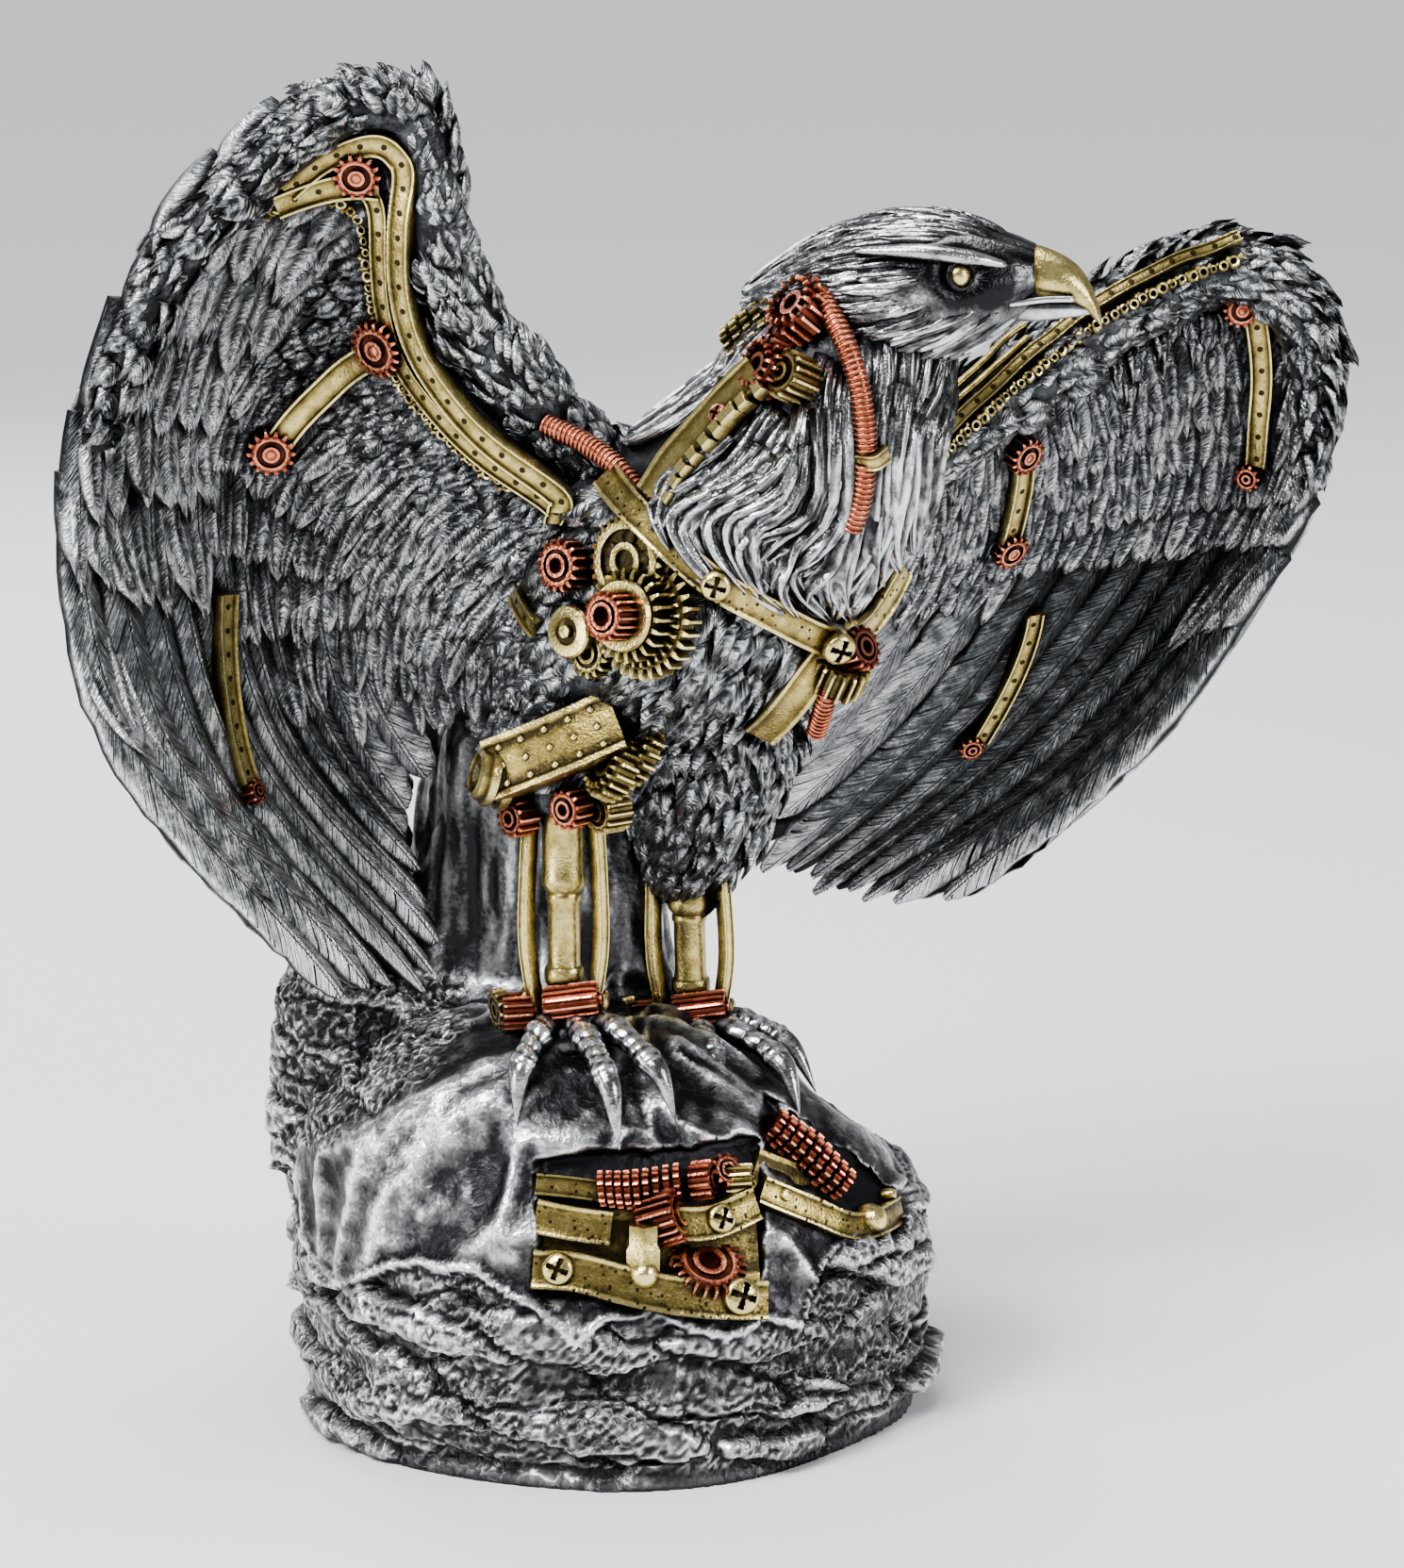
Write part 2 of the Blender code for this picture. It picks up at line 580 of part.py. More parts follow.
def strap_on_skin(name, skin, points, steps):
    """A strap laid over the breast along a line given as seen from the front."""
    line = [Vector((x, 0, z)) for x, z in points]
    path, normals = [], []
    for i in range(steps + 1):
        seen = along(line, i / steps)
        place, normal = on_skin(skin, seen.x, seen.z, 1.2 * UNIT)
        path.append(place)
        normals.append((normal + FRONT * 0.6).normalized())
    return band(name, path, normals, HARNESS_WIDTH, STRAP_THICKNESS)


def harness(skin):
    strap_on_skin("harness_right", skin, ((5, 226), (14, 218), (26, 209), (38, 201), (48, 194)), 6)
    strap_on_skin("harness_left", skin, ((48, 194), (57, 199), (63, 206)), 3)
    strap_on_skin("harness_lower", skin, ((48, 194), (42, 184), (34, 173)), 3)
    for i, (x, z) in enumerate(((26, 209), (48, 195))):
        place, normal = on_skin(skin, x, z, 2.5 * UNIT)
        disc(f"harness_screw_{i}", place, normal, SCREW_HEAD_DIAMETER / 2, 3 * STRAP_THICKNESS, 8)


def hoses(skin):
    """Ribbed hoses: down the side of the neck, over the right shoulder and under the left wing."""
    neck = [on_skin(skin, x, z, 1.5 * UNIT)[0] for x, z in
            ((49, 270), (52, 262), (55, 253), (56, 244), (56, 232), (54, 224))]
    smooth_rod("neck_hose", neck, [HOSE_DIAMETER / 2] * len(neck), 7, 6)
    shoulder = [eagle(p) for p in ((-8, -37, 236), (0, -42, 234), (7, -47, 228), (10, -50, 222))]
    smooth_rod("shoulder_hose", shoulder, [HOSE_DIAMETER / 2] * 4, 5, 6)
    flank = [eagle(p) for p in ((52, -42, 190), (50, -41, 182), (48, -34, 174))]
    smooth_rod("flank_hose", flank, [HOSE_DIAMETER / 2] * 3, 3, 6)
    gear("flank_gear", eagle((54, -40, 187)), Vector((0.7, -0.7, 0.3)), 6.5 * UNIT, 10 * UNIT, 9)


def neck_train(skin):
    """Gears behind the cheek and a toothed strap down the nape."""
    for i, (x, z, radius) in enumerate(((44, 264, 7.5), (38, 254, 6.0))):
        place, normal = on_skin(skin, x, z, 1.0 * UNIT)
        axis = (normal + Vector((-0.5, 0, 0.4))).normalized()
        gear(f"neck_gear_{i}", place, axis, radius * UNIT, 7 * UNIT, 9)
    strap_on_skin("nape_strap", skin, ((15, 226), (22, 236), (30, 245), (36, 252)), 4)


def rock_ring(share, middle_x, middle_y, share_x, share_y, sides, lumps):
    """One level of the rock, at a share of the shelf's height: an oval with the strata's lumps."""
    ring = []
    for i in range(sides):
        angle = 2 * math.pi * i / sides
        broad = math.sin(3 * angle + 3.92 * share)
        fine = 0.7 * math.sin(5 * angle - 6.37 * share + 1.7)
        wave = 1.0 + lumps * (broad + fine)
        ring.append(Vector((
            middle_x * ROCK_WIDTH + share_x * ROCK_WIDTH / 2 * wave * math.cos(angle),
            middle_y * ROCK_DEPTH + share_y * ROCK_DEPTH / 2 * wave * math.sin(angle),
            share * SHELF_HEIGHT,
        )))
    return ring


def rock_drum():
    """The plinth: strata up to half its height, then a smooth dome that bears the feet."""
    levels = (
        (0.0, 0.0, 0.0, 0.93, 0.94), (0.05, 0.0, 0.0, 0.98, 0.99), (0.17, 0.0, 0.0, 1.01, 1.01),
        (0.25, 0.0, 0.0, 0.96, 0.96), (0.36, 0.0, 0.0, 1.0, 0.99), (0.47, 0.0, 0.0, 0.97, 0.97),
        (0.57, -0.01, 0.0, 0.93, 0.94), (0.68, -0.04, 0.0, 0.86, 0.90), (0.78, -0.07, 0.0, 0.77, 0.84),
        (0.88, -0.08, 0.0, 0.64, 0.78), (0.96, -0.07, 0.0, 0.50, 0.68), (1.0, -0.05, -0.02, 0.28, 0.50),
    )
    rings = []
    for share, middle_x, middle_y, share_x, share_y in levels:
        lumps = 0.028 if share < 0.8 else 0.0
        rings.append(rock_ring(share, middle_x, middle_y, share_x, share_y, 24, lumps))
    return loft(rings)


def outcrop():
    """The taller shoulder of rock, at the back left, where the right wing's tips rest."""
    rings = []
    for share, grow in ((0.3, 0.8), (0.55, 1.12), (0.74, 1.04), (0.9, 1.0), (1.0, 0.72)):
        ring = []
        for i in range(12):
            angle = 2 * math.pi * i / 12
            wave = 1.0 + 0.09 * math.sin(2 * angle + 7.63 * share) + 0.06 * math.sin(5 * angle - 5.45 * share)
            ring.append(Vector((
                -0.355 * ROCK_WIDTH + 0.165 * ROCK_WIDTH * grow * wave * math.cos(angle),
                0.16 * ROCK_DEPTH + 0.20 * ROCK_DEPTH * grow * wave * math.sin(angle),
                share * OUTCROP_HEIGHT,
            )))
        rings.append(ring)
    helper("outcrop", loft(rings))


def pillar():
    """The crag behind the legs that carries the body and the tail."""
    top = eagle((-14, 20, 170))
    bottom = Vector((top.x - 3 * UNIT, top.y, 0.6 * SHELF_HEIGHT))
    rings = []
    for share, half_width, half_depth in ((0.0, 38, 24), (0.3, 34, 22), (0.5, 31, 19), (0.72, 30, 18),
                                          (0.9, 26, 16), (1.0, 20, 13)):
        ring = []
        for i in range(12):
            angle = 2 * math.pi * i / 12
            wave = 1.0 + 0.08 * math.sin(3 * angle + 9 * share) + 0.05 * math.sin(7 * angle)
            ring.append(bottom.lerp(top, share) + Vector((
                half_width * wave * math.cos(angle), half_depth * wave * math.sin(angle), 0)) * UNIT)
        rings.append(ring)
    helper("pillar", loft(rings))


def rock_front(skin, x, height, out):
    """A place on the front of the rock at that height, and the way it faces."""
    start = Vector((x, -ROCK_DEPTH, height))
    place, normal, _, _ = skin.ray_cast(start, -FRONT)
    normal = normal if normal.dot(FRONT) > 0 else -normal
    return place + normal * out, normal


def mechanism(skin):
    """The window in the front of the rock: straps, a shaft and a run of gears."""
    for name, points, width in (
        ("window_strap_lower", ((-0.105, 0.525), (-0.03, 0.51), (0.10, 0.465), (0.235, 0.44)), 1.35),
        ("window_strap_upper", ((-0.10, 0.645), (0.04, 0.625), (0.14, 0.62), (0.22, 0.63)), 1.1),
        ("window_strap_right", ((0.22, 0.66), (0.30, 0.62), (0.37, 0.575), (0.43, 0.58)), 1.0),
    ):
        path, normals = [], []
        for x, height in points:
            place, normal = rock_front(skin, x * ROCK_WIDTH, height * SHELF_HEIGHT, 0.6 * STRAP_THICKNESS)
            path.append(place)
            normals.append(normal)
        band(name, path, normals, HARNESS_WIDTH * width, STRAP_THICKNESS * 1.6)
    runs = (
        ("window_worm", (0.05, 0.685), Vector((1, 0, 0.05)), 5.5, 26),
        ("window_wheel", (0.09, 0.65), Vector((0.8, -0.2, 0.5)), 6.5, 10),
        ("window_half_wheel", (0.15, 0.53), Vector((0.2, -0.5, 0.8)), 8.5, 4),
        ("right_worm", (0.30, 0.70), Vector((0.8, 0.1, -0.6)), 6.0, 22),
    )
    for name, (x, height), axis, radius, length in runs:
        place, _ = rock_front(skin, x * ROCK_WIDTH, height * SHELF_HEIGHT, -0.5 * STRAP_THICKNESS)
        gear(name, place, axis, radius * UNIT, length * UNIT, 9, 0.2)
    place, _ = rock_front(skin, 0.01 * ROCK_WIDTH, 0.60 * SHELF_HEIGHT, 0.75 * STRAP_THICKNESS)
    reach = UP * WINDOW_SHAFT_LENGTH / 2
    rod("window_shaft", [place - reach, place + reach], [WINDOW_SHAFT_DIAMETER / 2] * 2, 6)
    for i, (x, height) in enumerate(((-0.085, 0.53), (0.20, 0.45), (0.17, 0.63))):
        place, normal = rock_front(skin, x * ROCK_WIDTH, height * SHELF_HEIGHT, STRAP_THICKNESS)
        disc(f"window_screw_{i}", place, normal, WINDOW_SCREW_DIAMETER / 2, 2.5 * STRAP_THICKNESS, 8)


clear_scene()
model = new_collection("steampunk_eagle_figurine")
shapes = new_collection("shapes_joined_into_the_casting")
resin = cast_resin("antique_silver_resin", SILVER, 0.38, 0.85)

torso = body()
torso_skin = BVHTree.FromObject(torso, bpy.context.evaluated_depsgraph_get())
feathered_wing("right_wing", RIGHT_WING_FLOW)
feathered_wing("left_wing", LEFT_WING_FLOW)
wing_arm("right_arm", RIGHT_ARM)
wing_arm("left_arm", LEFT_ARM)
head()
brow("right_brow", -1)
brow("left_brow", 1)
eye("right_eye", -1)
eye("left_eye", 1)
beak()
lower_beak()
hackles(torso_skin)
tail()
thigh()
leg("right_leg", (-9, -30, 104), (-9, -28, 148))
leg("left_leg", (20, 3, 94), (19, 2, 134))
feet()
wing_straps()
shoulder_train()
harness(torso_skin)
hoses(torso_skin)
neck_train(torso_skin)
outcrop()
pillar()

casting = finish("steampunk_eagle_figurine", rock_drum(), model)
bpy.context.view_layer.update()
mechanism(BVHTree.FromObject(casting, bpy.context.evaluated_depsgraph_get()))
casting.data.materials.append(resin)
union = casting.modifiers.new("One casting", "BOOLEAN")
union.operation = "UNION"
union.operand_type = "COLLECTION"
union.collection = shapes
union.solver = "MANIFOLD"
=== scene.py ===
"""Looks of the steampunk eagle figurine: its feathers, clockwork, hoses and rock, laid over the casting.

Shapes are worked out in millimetres in the casting's own frame, with +Z up, the display front facing -Y and
the origin in the middle of the underside, and turned to metres when a mesh is made.
"""

import json
import math

import bpy
import numpy as np
from mathutils import Matrix, Vector
from mathutils.bvhtree import BVHTree

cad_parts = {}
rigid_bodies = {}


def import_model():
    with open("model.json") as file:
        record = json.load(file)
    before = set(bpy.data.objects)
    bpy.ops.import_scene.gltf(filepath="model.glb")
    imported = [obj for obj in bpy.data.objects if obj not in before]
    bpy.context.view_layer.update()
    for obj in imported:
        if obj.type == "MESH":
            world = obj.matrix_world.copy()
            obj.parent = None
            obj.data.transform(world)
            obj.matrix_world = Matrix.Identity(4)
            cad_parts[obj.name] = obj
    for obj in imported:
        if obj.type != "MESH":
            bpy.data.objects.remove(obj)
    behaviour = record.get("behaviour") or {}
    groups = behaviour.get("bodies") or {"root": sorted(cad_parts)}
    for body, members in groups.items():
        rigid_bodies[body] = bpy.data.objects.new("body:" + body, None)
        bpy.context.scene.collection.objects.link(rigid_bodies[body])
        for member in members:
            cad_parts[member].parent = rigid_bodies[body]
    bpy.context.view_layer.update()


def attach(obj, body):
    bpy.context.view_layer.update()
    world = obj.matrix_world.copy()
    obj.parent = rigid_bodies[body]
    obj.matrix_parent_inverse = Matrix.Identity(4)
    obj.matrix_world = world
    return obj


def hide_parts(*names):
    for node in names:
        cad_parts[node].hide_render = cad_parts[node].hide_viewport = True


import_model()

bl_info = {
    "name": "Steampunk Eagle Figurine Looks",
    "version": (1, 0, 0),
    "blender": (4, 5, 0),
    "location": "View3D > Sidebar > Eagle",
    "description": "Builds the feathers, clockwork and rock of the eagle figurine over its casting",
    "category": "Object",
}

MM = 0.001
CASTING = "steampunk_eagle_figurine"
BODY_NAME = "root"
METALS = ("pale_brass", "aged_copper")
# How far apart, in shares, a skin is read to find its slopes
STEP = 0.004
# Size of the rock's drum and height of its outcrop
ROCK_WIDTH, ROCK_DEPTH, SHELF_HEIGHT, OUTCROP_HEIGHT = 152.0, 132.0, 98.0, 109.0

# Flow lines of the wings, from the arm to the feather tips, and the rounded arms: the casting's own values
RIGHT_WING_FLOW = (
    ((-4, -36, 220), (-9, -34, 209), (-14, -30, 197), (-15, -24, 184), (-14, -16, 172)),
    ((-29, -34, 244), (-38, -24, 227), (-46, -15, 206), (-46, -6, 182), (-36, 3, 160)),
    ((-39, -33, 260), (-53, -18, 239), (-67, -7, 211), (-63, 4, 172), (-47, 13, 140)),
    ((-42, -36, 281), (-62, -19, 256), (-79, -8, 220), (-73, 4, 165), (-44, 14, 121)),
    ((-39, -40, 302), (-69, -26, 272), (-90, -17, 228), (-82, -4, 162), (-40, 6, 103)),
    ((-44, -42, 314), (-78, -35, 282), (-100, -31, 232), (-93, -19, 163), (-50, -4, 102)),
    ((-69, -45, 310), (-96, -47, 283), (-115, -50, 235), (-109, -41, 170), (-64, -18, 106)),
)
LEFT_WING_FLOW = (
    ((50, -4, 212), (46, 2, 197), (40, 8, 182), (33, 15, 168), (25, 23, 155)),
    ((84, 16, 229), (81, 25, 210), (74, 34, 190), (60, 43, 167), (40, 52, 143)),
    ((107, 30, 243), (110, 42, 219), (103, 52, 192), (76, 62, 154), (38, 72, 117)),
    ((125, 38, 254), (130, 50, 227), (124, 60, 193), (91, 70, 150), (46, 78, 110)),
    ((143, 44, 262), (148, 54, 231), (142, 63, 195), (105, 73, 147), (55, 80, 106)),
    ((162, 44, 261), (161, 50, 231), (154, 57, 196), (120, 68, 145), (68, 78, 105)),
    ((170, 38, 242), (169, 38, 222), (161, 42, 199), (132, 56, 151), (84, 70, 104)),
)
RIGHT_ARM = (
    (22, -6, 210, 15), (7, -16, 221, 10.5), (-6, -24, 231, 9.5), (-16, -27, 242, 9), (-25, -29, 254, 8.5),
    (-32, -31, 267, 8), (-36, -33, 280, 7.5), (-38, -36, 296, 6.8), (-42, -39, 308, 6.5), (-53, -41, 310, 6.3),
    (-64, -43, 304, 6), (-77, -46, 293, 5.5), (-90, -48, 279, 5), (-100, -49, 262, 4.5), (-108, -50, 243, 3.5),
)
LEFT_ARM = (
    (46, -10, 212, 14), (62, 0, 221, 10), (75, 6, 228, 9), (86, 14, 235, 9), (97, 21, 242, 8.5),
    (110, 29, 250, 8.5), (125, 36, 259, 8.5), (138, 41, 264, 8.5), (151, 43, 264, 8.3), (160, 42, 258, 7.6),
    (165, 40, 249, 6.5), (167, 38, 237, 5), (166, 38, 223, 3.6),
)
# Sections of the trunk from the nape to the tail root: middle, half width, half depth
TRUNK = (
    (63, -45, 272, 11, 11), (60, -44, 264, 18, 17), (54, -42, 253, 24, 22), (48, -39, 238, 28, 25),
    (37, -33, 222, 32, 29), (24, -24, 205, 36, 33), (13, -14, 190, 35, 31), (3, 0, 177, 32, 28),
    (-7, 14, 170, 27, 22), (-16, 28, 166, 18, 13), (-22, 40, 162, 8, 5),
)
# Sections of the head from the occiput forwards: reach, drop of the middle, half width, half height
SKULL = (
    (-3, 4.0, 5, 4), (3, 3.0, 10.5, 9), (12, 2.2, 16, 14.5), (24, 1.6, 18.5, 18), (36, 0.6, 18, 17),
    (46, 0.0, 14.5, 13.5), (54, -0.4, 10.5, 9.5), (58, -0.8, 7.5, 7),
)
OCCIPUT = np.array((38.0, -43.0, 271.0))
HEAD_YAW = math.radians(-8.0)
HEAD_PITCH = math.radians(3.0)
HEADING = math.radians(30.0)
FORWARD = np.array((math.sin(HEADING), -math.cos(HEADING), 0.0))
RIGHT_SIDE = np.array((-math.cos(HEADING), -math.sin(HEADING), 0.0))
FRONT = np.array((0.0, -1.0, 0.0))
UP = np.array((0.0, 0.0, 1.0))
RIGHT_ANKLE, LEFT_ANKLE = np.array((-9.0, -31.0, 103.0)), np.array((20.0, 1.0, 93.0))

# The neck's locks as the front shows them: guide lines of (x, z), from the root of a lock to its tip
NECK_LOCKS = (
    ((34, 249), (26, 238), (20, 231), (15, 226), (12, 222)),
    ((41, 247), (30, 232), (21, 226), (18, 219), (23, 210)),
    ((49, 247), (38, 232), (28, 225), (25, 217), (30, 208)),
    ((48, 256), (44, 230), (34, 221), (32, 213), (38, 204)),
    ((54, 258), (51, 230), (42, 218), (39, 210), (45, 200)),
    ((60, 260), (56, 232), (52, 217), (48, 208), (49, 199)),
    ((66, 262), (62, 236), (60, 224), (57, 213), (53, 203)),
    ((72, 264), (66, 242), (63, 230), (62, 219), (60, 207)),
    ((76, 265), (71, 246), (67, 234), (65, 224), (66, 212)),
    ((79, 266), (75, 250), (71, 239), (69, 227), (67, 214)),
)


def unit(vectors):
    vectors = np.asarray(vectors, float)
    return vectors / np.maximum(np.linalg.norm(vectors, axis=-1, keepdims=True), 1e-9)


def spline_weights(share, count):
    """How much each of the control points counts at a share of the way along the smooth curve through them."""
    place = np.clip(np.asarray(share, float), -0.05, 1.05) * (count - 1)
    i = np.clip(place.astype(int), 0, count - 2)
    t = place - i
    basis = 0.5 * np.stack(
        [-t + 2 * t**2 - t**3, 2 - 5 * t**2 + 3 * t**3, t + 4 * t**2 - 3 * t**3, -(t**2) + t**3], -1
    )
    weights = np.zeros(place.shape + (count + 2,))
    for k in range(4):
        np.put_along_axis(weights, (i + k)[..., None], basis[..., k : k + 1], -1)
    full = weights[..., 1:-1].copy()
    full[..., 0] += 2 * weights[..., 0]
    full[..., 1] -= weights[..., 0]
    full[..., -1] += 2 * weights[..., -1]
    full[..., -2] -= weights[..., -1]
    return full


def along(points, share):
    points = np.asarray(points, float)
    return spline_weights(share, len(points)) @ points


def curve(points, count):
    """A number of places at even shares of the smooth curve through some points."""
    return along(points, np.linspace(0, 1, count))


def full_turn(count):
    return np.linspace(0, 2 * np.pi, count, endpoint=False)


def run_along(path):
    """How far along a path each of its places is."""
    return np.concatenate([[0], np.cumsum(np.linalg.norm(np.diff(path, axis=0), axis=1))])


def ways_across(axis):
    """Two directions at right angles to an axis and to each other."""
    side = unit(np.cross(axis, UP if abs(axis[2]) < 0.9 else (1.0, 0.0, 0.0)))
    return side, np.cross(axis, side)


def ways_round(axis, count):
    """Directions all the way round an axis."""
    side, over = ways_across(axis)
    angle = full_turn(count)
    return side[None] * np.cos(angle)[:, None] + over[None] * np.sin(angle)[:, None]


def value_noise(points, size, seed=0):
    """Smooth noise from -1 to 1 over places in space, its lumps about as wide as the size."""
    spot = np.asarray(points, float) / size + 1000.0
    cell = np.floor(spot).astype(np.int64)
    t = spot - cell
    t = t * t * (3 - 2 * t)
    total = np.zeros(spot.shape[:-1])
    for corner in np.ndindex(2, 2, 2):
        mixed = ((cell + corner) * np.array((73856093, 19349663, 83492791))).sum(-1) + seed * 7919
        mixed = (mixed ^ (mixed >> 13)) * 1274126177
        mixed = (mixed ^ (mixed >> 16)) & 0xFFFF
        weight = np.where(np.array(corner) == 1, t, 1 - t).prod(-1)
        total += weight * (mixed / 32767.5 - 1)
    return total


def cell_noise(points, size, seed=0):
    """How far each place is from the nearest and next nearest of points strewn one to a cell, and a value of its own."""
    spot = np.asarray(points, float) / size + 1000.0
    cell = np.floor(spot).astype(np.int64)
    near = np.full(spot.shape[:-1], 9.0)
    second, own = near.copy(), near.copy()
    for offset in np.ndindex(3, 3, 3):
        corner = cell + np.array(offset) - 1
        mixed = (corner * np.array((73856093, 19349663, 83492791))).sum(-1) + seed * 7919
        mixed = (mixed ^ (mixed >> 13)) * 1274126177
        parts = np.stack([(mixed >> shift) & 0x3FF for shift in (3, 11, 19)], -1) / 1023.0
        gap = np.linalg.norm(corner + parts - spot, axis=-1)
        second = np.minimum(second, np.maximum(near, gap))
        own = np.where(gap < near, (mixed & 0xFF) / 255.0, own)
        near = np.minimum(near, gap)
    return near, second, own


def ease(low, high, value):
    t = np.clip((value - low) / (high - low), 0, 1)
    return t * t * (3 - 2 * t)


def grid_faces(rows, columns, wrap=False):
    i, j = np.meshgrid(np.arange(rows - 1), np.arange(columns if wrap else columns - 1), indexing="ij")
    k = (j + 1) % columns
    return np.stack([i * columns + j, i * columns + k, (i + 1) * columns + k, (i + 1) * columns + j], -1).reshape(-1, 4)


class Skin:
    """A smooth surface read by shares across and down; its side says which way is outwards."""

    def __init__(self, at, side=1):
        self.at = at
        self.side = side

    def slopes(self, u, v):
        across = self.at(u + STEP, v) - self.at(u - STEP, v)
        down = self.at(u, v + STEP) - self.at(u, v - STEP)
        return across / (2 * STEP), down / (2 * STEP)

    def normal(self, u, v):
        across, down = self.slopes(u, v)
        return unit(np.cross(across, down)) * self.side

    def shell(self, columns, rows, u_ends=(0, 1), v_ends=(0, 1), lift=None):
        """A grid of points over the skin, sunk or lifted along its normal."""
        u, v = np.meshgrid(np.linspace(*u_ends, columns), np.linspace(*v_ends, rows), indexing="ij")
        points = self.at(u, v)
        if lift is not None:
            points = points + self.normal(u, v) * lift(u, v)[..., None]
        return points


def placed(name, data):
    """An object at the origin, linked to the scene."""
    made = bpy.data.objects.new(name, data)
    bpy.context.scene.collection.objects.link(made)
    return made


def read_points(mesh, key="co"):
    flat = np.zeros(len(mesh.vertices) * 3, np.float32)
    mesh.vertices.foreach_get(key, flat)
    return flat.reshape(-1, 3).astype(float)


def write_points(mesh, points):
    """Moves a mesh's points to places in millimetres."""
    mesh.vertices.foreach_set("co", (np.asarray(points) * MM).astype(np.float32).ravel())


def mark_points(mesh, name, values):
    """Stores a number or a direction on each point of a mesh, for a finish or a tree to read."""
    values = np.asarray(values, np.float32)
    kind, key = ("FLOAT", "value") if values.ndim == 1 else ("FLOAT_VECTOR", "vector")
    mesh.attributes.new(name, kind, "POINT").data.foreach_set(key, values.ravel())


class Clay:
    """Shapes gathered for one mesh, with the marks that its finish reads."""

    def __init__(self):
        self.points, self.faces, self.raised, self.strand = [], [], [], []
        self.count = 0

    def add(self, points, faces, raised=0.6, strand=(0.0, 0.0, 0.0)):
        """Adds a closed shape, its faces turned outwards."""
        points = np.asarray(points, float)
        shape = points.shape[:-1]
        points = points.reshape(-1, 3)
        blocks = [np.asarray(block, np.int64) for block in faces]
        volume = 0.0
        for block in blocks:
            for k in range(1, block.shape[1] - 1):
                a, b, c = points[block[:, 0]], points[block[:, k]], points[block[:, k + 1]]
                volume += np.einsum("ij,ij->i", a, np.cross(b, c)).sum()
        for block in blocks:
            self.faces.append((block[:, ::-1] if volume < 0 else block) + self.count)
        self.points.append(points)
        self.raised.append(np.broadcast_to(raised, shape).reshape(-1))
        self.strand.append(np.broadcast_to(strand, shape + (3,)).reshape(-1, 3))
        self.count += len(points)

    def brighten(self, change, above):
        """Changes the marks of all that stands out by more than a value."""
        self.raised = [marks + change * (marks > above) for marks in self.raised]

    def mesh(self, name, crease=None):
        corners = np.concatenate([block.ravel() for block in self.faces])
        sizes = np.concatenate([np.full(len(block), block.shape[1]) for block in self.faces])
        starts = np.concatenate([[0], np.cumsum(sizes)[:-1]])
        made = bpy.data.meshes.new(name)
        made.vertices.add(self.count)
        write_points(made, np.concatenate(self.points))
        made.loops.add(len(corners))
        made.loops.foreach_set("vertex_index", corners.astype(np.int32))
        made.polygons.add(len(sizes))
        made.polygons.foreach_set("loop_start", starts.astype(np.int32))
        made.update(calc_edges=True)
        mark_points(made, "raised", np.concatenate(self.raised))
        mark_points(made, "strand", np.concatenate(self.strand))
        made.shade_smooth()
        if crease is not None:
            made.set_sharp_from_angle(angle=math.radians(crease))
        return made

    def cast(self, name, look, crease=None):
        return piece(name, self.mesh(name, crease), look)


def piece(name, mesh, look):
    """An object of the figurine that rides with it and takes its finish from a named slot."""
    mesh.materials.clear()
    mesh.materials.append(finish(look))
    mesh.name = name
    made = placed(name, mesh)
    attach(made, BODY_NAME)
    return made


def loft(clay, rings, raised=0.6, strand=(0.0, 0.0, 0.0)):
    """A closed skin through rings of points, flat at both ends."""
    rings = np.asarray(rings, float)
    count, sides = rings.shape[:2]
    first = np.arange(sides)[None, ::-1]
    last = (np.arange(sides) + (count - 1) * sides)[None]
    clay.add(rings, [grid_faces(count, sides, True), first, last], raised, strand)


def frames(path, hint=UP):
    """Directions along a path and two across it that turn as little as they can."""
    ahead = unit(np.gradient(path, axis=0))
    side = np.cross(ahead[0], hint)
    if np.linalg.norm(side) < 0.05:
        side = np.cross(ahead[0], (1.0, 0.0, 0.0))
    sides = []
    for way in ahead:
        side = unit(side - way * np.dot(side, way))
        sides.append(side)
    sides = np.array(sides)
    return ahead, sides, np.cross(sides, ahead)


def tube(clay, path, radii, sides=12, raised=0.6, flat=1.0, hint=UP):
    """A round or oval rod along a path; the radii may differ along it and around it."""
    path = np.asarray(path, float)
    _, side, over = frames(path, hint)
    angle = full_turn(sides)
    radii = np.broadcast_to(np.asarray(radii, float).reshape(len(path), -1), (len(path), sides))
    rings = (
        path[:, None]
        + side[:, None] * (radii * np.cos(angle))[..., None]
        + over[:, None] * (radii * np.sin(angle) * flat)[..., None]
    )
    loft(clay, rings, raised)


def turned(clay, base, axis, profile, sides=32, raised=0.6):
    """A lathe-turned shape: the profile is (radius, height) pairs along the axis, from axis to axis."""
    axis, profile = unit(axis), np.asarray(profile, float)
    around = ways_round(axis, sides)
    rings = np.asarray(base) + axis * profile[:, 1, None, None] + around[None] * profile[:, 0, None, None]
    if np.ndim(raised):
        raised = np.repeat(np.asarray(raised, float)[:, None], sides, 1)
    loft(clay, rings, raised)


def hollow_turned(clay, base, axis, profile, sides=32, raised=0.6):
    """A ring-like turned shape whose profile is a closed loop that doesn't touch the axis."""
    axis, profile = unit(axis), np.asarray(profile, float)
    around = ways_round(axis, sides)
    points = (
        np.asarray(base) + axis * profile[None, :, 1, None] + around[:, None] * profile[None, :, 0, None]
    )
    count = len(profile)
    faces = grid_faces(sides + 1, count, True) % (sides * count)
    if np.ndim(raised):
        raised = np.repeat(np.asarray(raised, float)[None], sides, 0)
    clay.add(points, [faces], raised)


# Feather blades

